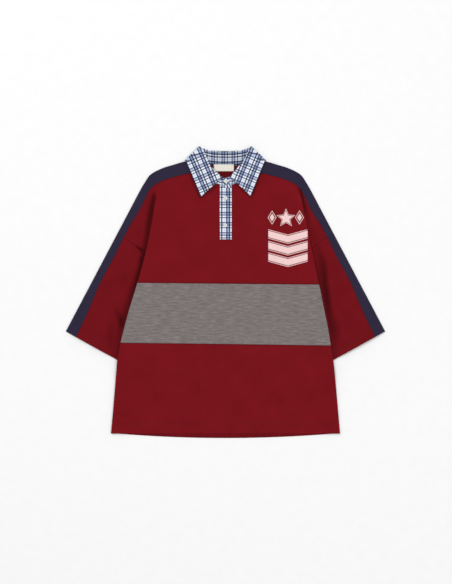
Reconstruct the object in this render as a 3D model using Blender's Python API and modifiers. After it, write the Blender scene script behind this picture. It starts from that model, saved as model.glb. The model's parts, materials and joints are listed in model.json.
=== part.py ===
"""Wide colour-blocked polo t-shirt, laid flat on its back.

Sizes are in millimetres and become metres when a mesh is made. +X points to the wearer's left,
+Y to the collar and +Z up from the surface that the shirt lies on. The origin is under the middle.
"""
from collections import namedtuple
from math import cos, pi, radians, sin

import bmesh
import bpy
import numpy as np
from mathutils import Vector

MM = 0.001

# Cloth
CLOTH = 1.2                 # wall of the jersey panels
COLLAR_CLOTH = 1.5          # two plies and their interlining
LABEL_CLOTH = 1.0
GAP = 0.3                   # between pieces at a seam, and between layers
PITCH = CLOTH + GAP + 0.05  # from one layer's middle to the next one's
BACK_Z = CLOTH / 2
FRONT_Z = BACK_Z + PITCH

# Body
HEM_Y = -367.0              # front hem
BAND_TOP_Y = 22.3
BAND_BOTTOM_Y = -134.5
BACK_HEM_DROP = 12.0        # the back hem shows this far below the front hem at the middle
LEAF_BACK_Y = 312.0         # lower edge of the collar's hidden back, at the middle
LEAF_SIDE = Vector((105.2, 343.0))
LEAF_PEAK = Vector((67.3, 379.4))
NECK_LIFT = 1.9             # the body is raised by the collar's back under it
NECK_RAMP = 34.0
NECK_RAMP_START = 40.0

# Neck and placket
BACK_NECK_Y = 326.0
BACK_NECK_RISE = 21.0
NECK_SIDE_X = 80.0
STAND_SEAM = 1.0            # between the back neckline and the stand's foot
PLACKET_LEFT = -14.8
PLACKET_RIGHT = 16.4
PLACKET_TOP = 270.0
PLACKET_BOTTOM = 137.2
SLIT_WIDTH = 4.0
SLIT_BOTTOM = 150.0
NECK_SEAM = 1.2             # between the front neckline and the stand's foot

# Buttons and label
BUTTON_RADIUS = 5.2
BUTTON_HEIGHT = 2.2
BUTTON_HOLE = 0.8
BUTTON_HOLE_OFFSET = 1.7
BUTTON_BEVEL = 0.5
LABEL_SIZE = (52.0, 18.0)
LABEL_MIDDLE = Vector((-4.2, 323.2))

# Sleeve
ARMHOLE_FRONT_BEND = Vector((-4.6, 20.9))   # how far the armhole's bend lies off a straight line
ARMHOLE_BACK_BEND = Vector((0.0, 18.5))
UNDERARM_TOP = Vector((166.0, 17.0))
UNDERARM_HEM = Vector((237.6, -199.8))
BACK_FOLD_TOP = Vector((195.0, 160.0))      # the back panel's edge, carried on past the armhole
BACK_FOLD_MARGIN = 9.0
BACK_FOLD_RAMP = 7.0
ALONG_SLEEVE = Vector((0.466, -0.885))      # directions of the seams' gaps
ACROSS_SLEEVE = Vector((-0.885, -0.466))
FROM_ARMHOLE = Vector((0.59, -0.807))
BODY_SEAM = Vector((GAP, GAP * 0.4))        # the body's edge lies this far inside the strip's

Shoulder = namedtuple("Shoulder", "edge_x edge_y front_x front_y front_row back_x back_y back_row")
SHOULDER = [  # from the neck to the armhole: outline, front seam, body row, back seam, back row
    Shoulder(80.0, 344.0, 66.0, 311.5, 311.5, 38.0, 331.0, 326.0),
    Shoulder(104.5, 340.0, 96.0, 308.5, 308.5, 96.4, 313.8, 306.0),
    Shoulder(132.6, 332.2, 125.0, 302.0, 302.0, 125.0, 304.5, 296.0),
    Shoulder(165.4, 321.8, 157.0, 292.5, 292.5, 156.0, 293.5, 284.0),
    Shoulder(194.5, 306.2, 176.0, 284.0, 282.0, 174.7, 282.3, 271.0),
    Shoulder(209.8, 285.4, 193.0, 271.5, 264.0, 184.0, 268.9, 256.0),
    Shoulder(222.0, 264.6, 202.5, 256.0, 238.0, 191.9, 248.8, 238.0),
    Shoulder(243.0, 224.8, 221.5, 216.0, 180.0, 212.0, 208.5, 195.0),
    Shoulder(262.0, 188.7, 244.5, 179.4, 104.0, 228.4, 171.0, 160.0),
    Shoulder(279.7, 155.1, 264.0, 143.6, BAND_TOP_Y, 247.3, 131.4, 125.0),
]

Stripe = namedtuple("Stripe", "edge_x edge_y front_x front_y back_x back_y")
STRIPE = [  # down the sleeve, from the armhole to the hem
    Stripe(279.7, 155.1, 264.0, 143.6, 247.3, 131.4),
    Stripe(310.1, 97.5, 291.0, 88.0, 272.9, 77.9),
    Stripe(345.0, 31.3, 326.5, 21.5, 309.6, 12.7),
    Stripe(380.0, -35.1, 355.7, -47.9, 350.8, -50.5),
    Stripe(415.0, -101.5, 388.2, -116.3, 388.8, -116.0),
]

# The body folds over the sleeve along a line. Each row gives that line on both sides, how far the
# cloth turns back under it (below zero where it only rises), how far in the raised cloth reaches,
# and the heights of the turned layer and the top layer in pitches.
Fold = namedtuple("Fold", "y right left depth_right depth_left step middle top")
FOLD = [
    Fold(-380, 298.4, 298.4, 6.0, 6.0, 280.0, 0.0, 1.0),
    Fold(-240, 286.5, 286.5, 6.0, 6.0, 262.0, 0.0, 1.0),
    Fold(-206, 283.6, 283.4, 7.0, 7.0, 233.0, 2.0, 3.0),
    Fold(-172, 280.5, 279.5, 18.0, 18.0, 221.0, 2.0, 3.0),
    Fold(-131, 271.7, 273.0, 33.0, 35.0, 206.0, 2.0, 3.0),
    Fold(-89, 261.3, 266.0, 46.0, 51.0, 190.0, 2.0, 3.0),
    Fold(-47.5, 250.1, 257.5, 57.0, 65.0, 174.0, 2.0, 3.0),
    Fold(22, 229.0, 243.5, 65.0, 79.5, 156.0, 2.0, 3.0),
    Fold(77, 214.5, 232.0, 52.0, 67.0, 157.0, 2.0, 3.0),
    Fold(119, 204.1, 222.3, 38.0, 50.0, 160.0, 2.0, 3.0),
    Fold(161, 193.7, 214.5, 20.0, 26.0, 166.0, 1.0, 2.0),
    Fold(185, 188.8, 210.0, 8.0, 10.0, 166.0, 1.0, 2.0),
    Fold(208, 186.0, 204.5, -12.0, -12.0, 160.0, 1.0, 2.0),
    Fold(235, 183.5, 198.5, -18.0, -16.0, 154.0, 0.6, 1.1),
    Fold(262, 180.0, 190.0, -20.0, -20.0, 150.0, 0.25, 0.5),
    Fold(300, 172.0, 182.0, -20.0, -20.0, 146.0, 0.0, 0.0),
]
FOLD_INSET = 8.0            # the fold line stays this far inside the seam of a short row
TURN_INSET = 4.0
FOLD_INSET_SHARE = 0.4
TURN_INSET_SHARE = 0.2
FOLD_POINTS = 9
START_RAMP = 14.0           # width of the rise where the fold starts, above its turned part
STEP_RAMP = 20.0

Side = namedtuple("Side", "edge_x edge_y row")
BACK_SIDE = [  # the back panel's edge below the armhole
    Side(209.5, 101.6, 100.0),
    Side(230.0, 36.0, 36.0),
    Side(252.0, -47.0, -47.0),
    Side(271.0, -131.0, -131.0),
    Side(279.5, -175.0, -175.0),
    Side(284.5, -222.0, -222.0),
    Side(291.0, -294.0, -296.0),
    Side(297.7, -366.0, HEM_Y - BACK_HEM_DROP + 0.2),
]

Neck = namedtuple("Neck", "y x")
NECK = [  # the front neckline above the slit
    Neck(268.0, SLIT_WIDTH / 2),
    Neck(273.0, 19.0),
    Neck(282.0, 41.0),
    Neck(285.0, 44.5),
    Neck(290.0, 49.5),
    Neck(300.0, 59.0),
    Neck(321.0, 70.5),
    Neck(337.0, 76.5),
]

Tilt = namedtuple("Tilt", "y slope")
TILT = [  # the band isn't quite level
    Tilt(HEM_Y, 0.0),
    Tilt(-250, 0.0),
    Tilt(BAND_BOTTOM_Y, -0.013),
    Tilt(BAND_TOP_Y, -0.0095),
    Tilt(120, 0.0),
    Tilt(312, 0.0),
]

# Collar: the fold of the leaf, its outer edge and the foot of the stand, from the front end to the
# neck's side
Leaf = namedtuple("Leaf", "roll_x roll_y edge_x edge_y foot_x foot_y roll_z")
LEAF_RIGHT = [
    Leaf(7.5, 298.6, 64.5, 247.4, 14.0, 274.0, 7.6),
    Leaf(24.0, 313.0, 75.0, 273.0, 41.0, 285.0, 7.6),
    Leaf(38.5, 329.5, 85.5, 298.0, 57.5, 300.5, 8.0),
    Leaf(48.0, 348.0, 94.5, 320.0, 68.0, 321.0, 8.6),
    Leaf(55.5, 366.0, 100.5, 334.0, 74.5, 336.5, 9.0),
]
LEAF_LEFT = [
    Leaf(25.0, 290.0, 66.5, 248.8, 32.0, 279.0, 7.2),
    Leaf(31.5, 311.0, 75.5, 273.0, 48.0, 290.0, 7.6),
    Leaf(40.0, 331.0, 85.0, 298.0, 60.0, 304.0, 8.0),
    Leaf(51.0, 348.0, 94.0, 320.0, 69.0, 323.0, 8.6),
    Leaf(58.0, 366.0, 100.5, 334.0, 74.5, 336.5, 9.0),
]
LeafBack = namedtuple("LeafBack", "roll_x roll_y edge_x edge_y")
LEAF_BACK = [  # under the body, from the neck's side to the middle
    LeafBack(56.0, 373.5, 94.0, 335.5),
    LeafBack(42.0, 369.4, 70.0, 324.0),
    LeafBack(22.0, 367.2, 36.0, 315.0),
    LeafBack(0.0, 366.8, 0.0, LEAF_BACK_Y),
]
ROLL_RADIUS = 1.0
ROLL_INSIDE = 1.2
STAND_BELOW_ROLL = 2.1      # along the leaf, from the fold's middle to the stand's top edge
TURN_ROLL_RADIUS = 4.15     # the leaf's turn round the neck's side, at its fold and at its edge
TURN_EDGE_RADIUS = 2.5
LEAF_CLEARANCE = 0.65       # between the leaf and the body under its edge
LEAF_SLOPE = 1.15           # the leaf is down on the body before its edge
STAND_BUTTON_Z = 7.1        # top of the stand's crossed ends

End = namedtuple("End", "top_x top_y foot_x foot_y top_z foot_z")
END_RIGHT = [  # the stand's free ends at the placket
    End(-11.5, 297.0, -13.0, 272.5, 5.9, 5.9),
    End(-2.0, 297.0, -1.0, 271.5, 5.9, 5.7),
]
END_LEFT = [
    End(-4.0, 294.5, -2.0, 271.5, 3.3, 2.2),
    End(14.0, 297.0, 18.0, 274.5, 4.6, 2.2),
]
STAND_SIDE_FOOT = Vector((78.2, 345.4))
STAND_BACK_FOOT = (72.0, 56.0, 28.0, 0.0)
STAND_FOOT_RADIUS = 0.8

RED = (0.182, 0.007, 0.012)
NAVY = (0.030, 0.024, 0.048)
GREY = (0.195, 0.168, 0.165)
PLAID = (0.42, 0.50, 0.72)
PEARL = (0.80, 0.79, 0.74)
CREAM = (0.75, 0.73, 0.62)


def smooth(t):
    """An even step from 0 to 1."""
    t = min(max(t, 0.0), 1.0)
    return t * t * (3 - 2 * t)


def mix(a, b, t):
    return a + (b - a) * t


def read(rows, column, y):
    """A table's column at height y, on straight lines between its rows."""
    return float(np.interp(y, [row.y for row in rows], [getattr(row, column) for row in rows]))


def resample(rows, steps):
    """The table's rows and, between each pair, smooth ones. steps says how many a pair gets."""
    table = np.array([tuple(row) for row in rows], dtype=float)
    last = len(table) - 1
    out = []
    for i in range(last):
        before = table[max(i - 1, 0)]
        after = table[min(i + 2, last)]
        count = steps if isinstance(steps, int) else steps[i]
        for k in range(count):
            t = k / count
            slope_a = (table[i + 1] - before) / (2 if i > 0 else 1)
            slope_b = (after - table[i]) / (2 if i + 2 <= last else 1)
            out.append((2 * t**3 - 3 * t**2 + 1) * table[i] + (t**3 - 2 * t**2 + t) * slope_a
                       + (3 * t**2 - 2 * t**3) * table[i + 1] + (t**3 - t**2) * slope_b)
    out.append(table[last])
    return [type(rows[0])(*values) for values in out]


def neck_lift(x, y):
    """How far the collar's back, lying underneath, raises the body."""
    edge = LEAF_BACK_Y + (LEAF_SIDE.y - LEAF_BACK_Y) * (x / LEAF_SIDE.x) ** 2
    return NECK_LIFT * smooth((y - edge + NECK_RAMP_START) / NECK_RAMP)


def back_z(x, y):
    return BACK_Z + neck_lift(x, y)


def front_z(x, y):
    return FRONT_Z + neck_lift(x, y)


def arc(centre_x, low_z, high_z, outward, count=3):
    """Points of a half turn between two layers, from the low one to the high one."""
    radius = (high_z - low_z) / 2
    points = []
    for k in range(1, count + 1):
        angle = pi * k / (count + 1) - pi / 2
        points.append((centre_x + outward * radius * cos(angle), (low_z + high_z) / 2 + radius * sin(angle)))
    return points


# ---------------------------------------------------------------- building

def material(name, colour, roughness):
    made = bpy.data.materials.new(name)
    made.use_nodes = True
    shader = made.node_tree.nodes["Principled BSDF"]
    shader.inputs["Base Color"].default_value = (*colour, 1.0)
    shader.inputs["Roughness"].default_value = roughness
    shader.inputs["Metallic"].default_value = 0.0
    return made


def finish_object(name, mesh, look, group):
    made = bpy.data.objects.new(name, mesh)
    mesh.materials.append(look)
    mesh.shade_smooth()
    group.objects.link(made)
    return made


def wall(name, rows, thickness, look, group, is_open=None):
    """A closed wall of even thickness on a grid of points, its middle surface.

    is_open says which cells of the grid stay open, by row and column.
    """
    columns = len(rows[0])
    verts = [Vector(point) * MM for row in rows for point in row]
    faces = []
    for i in range(len(rows) - 1):
        for j in range(columns - 1):
            if is_open and is_open(i, j):
                continue
            a = i * columns + j
            faces.append((a, a + 1, a + 1 + columns, a + columns))
    mesh = bpy.data.meshes.new(name)
    mesh.from_pydata(verts, [], faces)
    made = finish_object(name, mesh, look, group)
    solid = made.modifiers.new("Wall", "SOLIDIFY")
    solid.thickness = thickness * MM
    solid.offset = 0.0
    solid.use_even_offset = True
    return made


def cut(target, tool):
    step = target.modifiers.new("Cut", "BOOLEAN")
    step.operation = "DIFFERENCE"
    step.solver = "EXACT"
    step.object = tool


# ---------------------------------------------------------------- front of the body

UNDER_STEPS = (0.0, 0.18, 0.34, 0.5, 0.75, 1.0)   # from the seam to the inner turn
TOP_STEPS = (0.3, 0.65, 1.0)                   # from the raised cloth to the middle


def row_y(x, y):
    return y + read(TILT, "slope", y) * x


def inner_x(y):
    """Where a row of the front ends: at the slit, or at the neckline above it."""
    return read(NECK, "x", y) + (NECK_SEAM if y > NECK[0].y else 0.0)


def top_layer(side, y, start, step_x, lift):
    """The visible layer, from its fold to the middle."""
    end = inner_x(y)
    full = max(min(step_x, start - 4), mix(start, end, 0.6))
    low = max(full - STEP_RAMP, mix(full, end, 0.5))
    stations = [mix(start, full, 0.5)] + [mix(full, low, t) for t in (0.0, 0.33, 0.67, 1.0)]
    stations += [mix(low, end, t) for t in TOP_STEPS]
    points = []
    for x in stations:
        share = smooth((x - low) / (full - low))
        place_y = row_y(side * x, y)
        points.append((side * x, place_y, front_z(x, place_y) + lift * share))
    return points


def fold_path(turn_x, fold_x, middle, top):
    """Points across the fold, from the inner turn at height 0 to the fold at height top."""
    if turn_x > fold_x - 2:
        end = min(fold_x, turn_x - START_RAMP)
        return [(mix(turn_x, end, t), top * smooth(t)) for t in np.linspace(0, 1, FOLD_POINTS + 2)[1:]]
    outer_radius = (top - middle) / 2
    centre = fold_x - CLOTH / 2 - outer_radius
    points = arc(turn_x, 0.0, middle, -1) + [(mix(turn_x, centre, t), middle) for t in (0.0, 0.5, 1.0)]
    return points + arc(centre, middle, top, 1) + [(centre, top)]


def front_half(side, y, seam=None, bend=0.0):
    """One half of a row of the front. seam is the outer edge of a row that has its under layer."""
    name = "right" if side < 0 else "left"
    fold_x = read(FOLD, name, y)
    turn_x = fold_x - read(FOLD, "depth_" + name, y)
    step_x = read(FOLD, "step", y)
    if seam is not None:
        width = seam.x - inner_x(y)
        fold_x = min(fold_x, seam.x - min(FOLD_INSET, FOLD_INSET_SHARE * width))
        turn_x = min(turn_x, seam.x - min(TURN_INSET, TURN_INSET_SHARE * width))
    middle = read(FOLD, "middle", y) * PITCH
    top = read(FOLD, "top", y) * PITCH
    points = []
    path = fold_path(turn_x, fold_x, middle, top)
    if seam is None:
        path = path[3:]
    else:
        inner = Vector((turn_x, row_y(side * turn_x, y)))
        for t in UNDER_STEPS:
            place = mix(seam, inner, t) + ARMHOLE_FRONT_BEND * bend * (1 - abs(2 * t - 1))
            points.append((side * place.x, place.y, front_z(place.x, place.y)))
    points += [(side * x, row_y(side * x, y), front_z(x, y) + z) for x, z in path]
    return points + top_layer(side, y, path[-1][0], step_x, top)


def front_row(y, seam=None, bend=0.0):
    """A row across the front, with one cell between its two halves."""
    return front_half(-1, y, seam, bend) + front_half(1, y, seam, bend)[::-1]


SHOULDER_STEPS = (2, 2, 1, 2, 2, 2, 2, 3, 4)
STRIPE_STEPS = 3
BAND_ROWS = 8
LOWER_ROWS = (-158.0, -182.0, -206.0, -222.0, -240.0, -285.0, -330.0)


def shoulder_rows():
    return resample(SHOULDER, SHOULDER_STEPS)


def build_front(looks, group):
    rows = []
    heights = []
    bend_start = sum(SHOULDER_STEPS) - SHOULDER_STEPS[-1]
    first = SHOULDER_STEPS[0]
    for i, row in enumerate(shoulder_rows()[first:], start=first):
        seam = Vector((row.front_x, row.front_y)) - BODY_SEAM
        bend = max(0.0, (i - bend_start) / SHOULDER_STEPS[-1])
        rows.append(front_row(row.front_row, seam, bend))
        heights.append(row.front_row)
    middle_cell = len(rows[0]) // 2 - 1
    wall("front_upper", rows, CLOTH, looks["red"], group,
         is_open=lambda i, j: j == middle_cell and heights[i] > SLIT_BOTTOM)

    band = [front_row(y) for y in np.linspace(BAND_TOP_Y - GAP, BAND_BOTTOM_Y, BAND_ROWS)]
    wall("front_band", band, CLOTH, looks["grey"], group)
    lower = [front_row(y) for y in (BAND_BOTTOM_Y - GAP, *LOWER_ROWS, HEM_Y)]
    wall("front_lower", lower, CLOTH, looks["red"], group)


# ---------------------------------------------------------------- back of the body

BACK_COLUMNS = 12


def back_row(edge_x, edge_y, middle_y):
    points = []
    for t in np.linspace(-1, 1, BACK_COLUMNS + 1):
        x = edge_x * t
        y = mix(middle_y, edge_y, t * t)
        points.append((x, y, back_z(x, y)))
    return points


def build_back(looks, group):
    rows = [back_row(row.back_x - BODY_SEAM.x, row.back_y - BODY_SEAM.y, row.back_row)
            for row in shoulder_rows()]
    rows += [back_row(*row) for row in resample(BACK_SIDE, 2)]
    wall("back", rows, CLOTH, looks["red"], group)


# ---------------------------------------------------------------- strips and sleeves

def strip_section(side, row):
    """A strip's section, from its front seam round the outer fold to its back seam."""
    radius = PITCH / 2
    edge = Vector((row.edge_x, row.edge_y))
    front = Vector((row.front_x, row.front_y))
    back = Vector((row.back_x, row.back_y))
    centre_front = edge + (front - edge).normalized() * (radius + CLOTH / 2)
    centre_back = edge + (back - edge).normalized() * (radius + CLOTH / 2)
    points = []
    for t in (0.0, 0.5, 1.0):
        place = mix(front, centre_front, t)
        points.append((side * place.x, place.y, front_z(place.x, place.y)))
    for k in (1, 2, 3):
        angle = pi / 2 - pi * k / 4
        centre = mix(centre_front, centre_back, k / 4)
        outward = (edge - centre).normalized()
        place = centre + outward * radius * cos(angle)
        middle_z = (front_z(centre.x, centre.y) + back_z(centre.x, centre.y)) / 2
        points.append((side * place.x, place.y, middle_z + radius * sin(angle)))
    for t in (1.0, 0.5, 0.0):
        place = mix(back, centre_back, t)
        points.append((side * place.x, place.y, back_z(place.x, place.y)))
    return points


def back_fold_x(y):
    """The back panel's side edge, carried on upward past the armhole."""
    ys = [row.edge_y for row in BACK_SIDE][::-1] + [BACK_FOLD_TOP.y]
    xs = [row.edge_x for row in BACK_SIDE][::-1] + [BACK_FOLD_TOP.x]
    return float(np.interp(y, ys, xs))


def sleeve_lift(x, y):
    """The sleeve's hidden part lies on the back panel."""
    return PITCH * smooth((back_fold_x(y) + BACK_FOLD_MARGIN - x) / BACK_FOLD_RAMP)


def sleeve_layer(start, under, bend, base):
    """One layer of a sleeve, from its seam with the strip to the turn under the arm."""
    def place(t):
        return mix(start, under, t) + bend * (1 - abs(2 * t - 1))

    def crossing(offset):
        """Where the layer passes the back panel's edge at this distance."""
        low, high = 0.0, 1.0
        for _ in range(24):
            t = (low + high) / 2
            if place(t).x - back_fold_x(place(t).y) > offset:
                low = t
            else:
                high = t
        return low

    foot = crossing(BACK_FOLD_MARGIN)
    top = crossing(BACK_FOLD_MARGIN - BACK_FOLD_RAMP)
    points = []
    for t in (0.0, foot / 2, foot, (foot + top) / 2, top, mix(top, 1.0, 0.5), 1.0):
        x, y = place(t)
        points.append((x, y, base + sleeve_lift(x, y)))
    return points


def sleeve_section(side, row, s):
    """A flat tube's section: the front layer, the turn under the arm and the back layer."""
    shift = ACROSS_SLEEVE * GAP + (FROM_ARMHOLE * GAP if s == 0 else Vector((0, 0)))
    front = Vector((row.front_x, row.front_y)) + shift
    back = Vector((row.back_x, row.back_y)) + shift
    under = mix(UNDERARM_TOP, UNDERARM_HEM, s)
    fade = (1 - s) ** 2
    points = sleeve_layer(front, under, ARMHOLE_FRONT_BEND * fade, FRONT_Z)
    low = BACK_Z + sleeve_lift(under.x, under.y)
    points += [(x, under.y, z) for x, z in arc(under.x, low, low + PITCH, -1)[::-1]]
    points += sleeve_layer(back, under, ARMHOLE_BACK_BEND * fade, BACK_Z)[::-1]
    return [(side * x, y, z) for x, y, z in points]


def build_arms(looks, group):
    for side, name in ((-1, "right"), (1, "left")):
        rows = [strip_section(side, row) for row in shoulder_rows()]
        wall("shoulder_" + name, rows, CLOTH, looks["navy"], group)
        stations = resample(STRIPE, STRIPE_STEPS)
        last = len(stations) - 1
        strip = [strip_section(side, row) for row in stations]
        shift = ALONG_SLEEVE * GAP
        strip[0] = [(x + side * shift.x, y + shift.y, z) for x, y, z in strip[0]]
        wall("stripe_" + name, strip, CLOTH, looks["navy"], group)
        tube = [sleeve_section(side, row, i / last) for i, row in enumerate(stations)]
        wall("sleeve_" + name, tube, CLOTH, looks["red"], group)


# ---------------------------------------------------------------- collar

LEAF_SPREAD = (0.12, 0.3, 0.5, 0.75, 1.0)
STAND_SPREAD = (0.0, 0.35, 0.7, 1.0)
TURN_ANGLES = (60, 30, 0, -30, -60)
LEAF_REST = CLOTH / 2 + LEAF_CLEARANCE + COLLAR_CLOTH / 2


def roll_points(centre, out, up, count=5):
    """The fold itself: half round from its inside to its outside, with out pointing to the edge."""
    points = [centre - up * ROLL_RADIUS + out * ROLL_INSIDE]
    for k in range(count):
        angle = -pi / 2 + pi * k / (count - 1)
        points.append(centre - out * ROLL_RADIUS * cos(angle) + up * ROLL_RADIUS * sin(angle))
    return points


def flat(vector, z):
    return Vector((vector.x, vector.y, z))


def leaf_front(row):
    """A station of the front leaf, and the stand's top edge under it."""
    roll = Vector((row.roll_x, row.roll_y))
    edge = Vector((row.edge_x, row.edge_y))
    out = (edge - roll).normalized()
    start = roll + out * (ROLL_RADIUS + COLLAR_CLOTH / 2)
    centre = flat(start, row.roll_z - ROLL_RADIUS)
    points = roll_points(centre, flat(out, 0.0), Vector((0, 0, 1)))
    for t in LEAF_SPREAD:
        place = mix(start, edge, t)
        rest = front_z(place.x, place.y) + LEAF_REST
        points.append(flat(place, rest + max(row.roll_z - rest, 0.0) * (1 - smooth(t * LEAF_SLOPE))))
    stand_top = centre + flat(out, 0.0) * STAND_BELOW_ROLL - Vector((0, 0, ROLL_RADIUS))
    return points, stand_top


def leaf_turn(angle):
    """A station where the collar turns round the neck's side. angle is 90 in front, -90 behind."""
    line = (LEAF_SIDE - LEAF_PEAK).normalized()
    out = Vector((-line.y, line.x))
    up = Vector((out.x * cos(angle), out.y * cos(angle), sin(angle)))
    along = flat(line, 0.0)
    start = LEAF_PEAK + line * (ROLL_RADIUS + COLLAR_CLOTH / 2)

    def at(place, radius):
        base = place - out * (radius + COLLAR_CLOTH / 2)
        return flat(base, COLLAR_CLOTH / 2 + radius) + up * radius

    centre = at(start, TURN_ROLL_RADIUS) - up * ROLL_RADIUS
    points = roll_points(centre, along, up)
    for t in LEAF_SPREAD:
        points.append(at(mix(start, LEAF_SIDE, t), mix(TURN_ROLL_RADIUS, TURN_EDGE_RADIUS, t)))
    return points, centre + along * STAND_BELOW_ROLL - up * ROLL_RADIUS


def leaf_back(row):
    """A station of the leaf's hidden back, flat on the surface below."""
    roll = Vector((row.roll_x, row.roll_y))
    edge = Vector((row.edge_x, row.edge_y))
    out = (edge - roll).normalized()
    start = roll + out * (ROLL_RADIUS + COLLAR_CLOTH / 2)
    centre = flat(start, COLLAR_CLOTH / 2 + ROLL_RADIUS)
    points = roll_points(centre, flat(out, 0.0), Vector((0, 0, -1)))
    points += [flat(mix(start, edge, t), COLLAR_CLOTH / 2) for t in LEAF_SPREAD]
    return points, centre + flat(out, 0.0) * STAND_BELOW_ROLL + Vector((0, 0, ROLL_RADIUS))


def stand_section(foot, top):
    return [foot + (top - foot) * t for t in STAND_SPREAD]


def collar_half(side, table, ends):
    """Stations of the leaf and of the stand, from the front end to the middle of the back."""
    leaf = []
    stand = [stand_section(Vector((end.foot_x, end.foot_y, end.foot_z)),
                           Vector((end.top_x, end.top_y, end.top_z))) for end in ends]
    for row in resample(table, 2):
        points, top = leaf_front(row)
        leaf.append(points)
        stand.append(stand_section(Vector((row.foot_x, row.foot_y, front_z(row.foot_x, row.foot_y))), top))
    side_line = (LEAF_SIDE - LEAF_PEAK).normalized()
    side_out = Vector((-side_line.y, side_line.x))
    back_foot_z = back_z(0.0, BACK_NECK_Y)
    for degrees in TURN_ANGLES:
        angle = radians(degrees)
        points, top = leaf_turn(angle)
        leaf.append(points)
        base = flat(STAND_SIDE_FOOT - side_out * STAND_FOOT_RADIUS, back_foot_z + STAND_FOOT_RADIUS)
        spoke = Vector((side_out.x * cos(angle), side_out.y * cos(angle), sin(angle)))
        stand.append(stand_section(base + spoke * STAND_FOOT_RADIUS, top))
    for row, foot_x in zip(LEAF_BACK, STAND_BACK_FOOT):
        points, top = leaf_back(row)
        leaf.append(points)
        foot_y = BACK_NECK_Y + STAND_SEAM + BACK_NECK_RISE * (foot_x / NECK_SIDE_X) ** 2
        stand.append(stand_section(Vector((foot_x, foot_y, back_foot_z)), top))
    turn = Vector((side, 1, 1))
    return [[tuple(p * turn) for p in row] for row in leaf], [[tuple(p * turn) for p in row] for row in stand]


def build_collar(looks, group):
    leaf_right, stand_right = collar_half(-1, LEAF_RIGHT, END_RIGHT)
    leaf_left, stand_left = collar_half(1, LEAF_LEFT, END_LEFT)
    wall("collar", leaf_right + leaf_left[-2::-1], COLLAR_CLOTH, looks["plaid"], group)
    wall("collar_stand", stand_right + stand_left[-2::-1], CLOTH, looks["plaid"], group)


# ---------------------------------------------------------------- placket, buttons and label

def build_placket(looks, group):
    rows = []
    for y in np.linspace(PLACKET_TOP, PLACKET_BOTTOM, 10):
        row = []
        for x in np.linspace(PLACKET_LEFT, PLACKET_RIGHT, 5):
            z = front_z(x, y) + CLOTH / 2 + GAP + COLLAR_CLOTH / 2
            row.append((x, y, z))
        rows.append(row)
    wall("placket", rows, COLLAR_CLOTH, looks["plaid"], group)


BUTTONS = (  # middle of each button, and the height of the cloth under it
    (2.3, 286.0, STAND_BUTTON_Z),
    (0.3, 245.0, FRONT_Z + CLOTH / 2 + GAP + COLLAR_CLOTH),
    (-0.8, 173.8, FRONT_Z + CLOTH / 2 + GAP + COLLAR_CLOTH),
)


def build_buttons(looks, group, tools):
    for i, (x, y, top) in enumerate(BUTTONS):
        centre = Vector((x, y, top + GAP + BUTTON_HEIGHT / 2)) * MM
        work = bmesh.new()
        bmesh.ops.create_cone(work, cap_ends=True, segments=24, radius1=BUTTON_RADIUS * MM,
                              radius2=BUTTON_RADIUS * MM, depth=BUTTON_HEIGHT * MM)
        mesh = bpy.data.meshes.new("button")
        work.to_mesh(mesh)
        work.free()
        button = finish_object(f"button_{i + 1}", mesh, looks["pearl"], group)
        button.location = centre
        edge = button.modifiers.new("Edge", "BEVEL")
        edge.width = BUTTON_BEVEL * MM
        edge.segments = 1
        for k in range(4):
            angle = pi / 4 + k * pi / 2
            drill = bmesh.new()
            bmesh.ops.create_cone(drill, cap_ends=True, segments=8, radius1=BUTTON_HOLE * MM,
                                  radius2=BUTTON_HOLE * MM, depth=BUTTON_HEIGHT * 3 * MM)
            hole_mesh = bpy.data.meshes.new("hole")
            drill.to_mesh(hole_mesh)
            drill.free()
            hole = bpy.data.objects.new(f"hole_{i + 1}_{k + 1}", hole_mesh)
            offset = Vector((cos(angle), sin(angle), 0)) * BUTTON_HOLE_OFFSET * MM
            hole.location = centre + offset
            hole.hide_render = True
            hole.display_type = "WIRE"
            tools.objects.link(hole)
            cut(button, hole)


def build_label(looks, group):
    rows = []
    width, height = LABEL_SIZE
    z = COLLAR_CLOTH / 2 + 2 * ROLL_RADIUS + CLOTH / 2 + GAP + LABEL_CLOTH / 2
    for v in (-0.5, 0.0, 0.5):
        rows.append([(LABEL_MIDDLE.x + u * width, LABEL_MIDDLE.y - v * height, z)
                     for u in (-0.5, -0.25, 0.0, 0.25, 0.5)])
    wall("neck_label", rows, LABEL_CLOTH, looks["cream"], group)


def main():
    for old in list(bpy.data.objects):
        bpy.data.objects.remove(old, do_unlink=True)
    scene = bpy.context.scene
    group = bpy.data.collections.new("polo_shirt")
    tools = bpy.data.collections.new("cutters")
    scene.collection.children.link(group)
    scene.collection.children.link(tools)
    looks = {
        "red": material("red_jersey", RED, 0.9),
        "navy": material("navy_jersey", NAVY, 0.9),
        "grey": material("grey_marl", GREY, 0.9),
        "plaid": material("plaid_cotton", PLAID, 0.85),
        "pearl": material("pearl", PEARL, 0.3),
        "cream": material("cream_tape", CREAM, 0.7),
    }
    build_front(looks, group)
    build_back(looks, group)
    build_arms(looks, group)
    build_collar(looks, group)
    build_placket(looks, group)
    build_buttons(looks, group, tools)
    build_label(looks, group)


main()
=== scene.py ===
import json
from collections import namedtuple
from math import cos, pi, radians, sin

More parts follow.
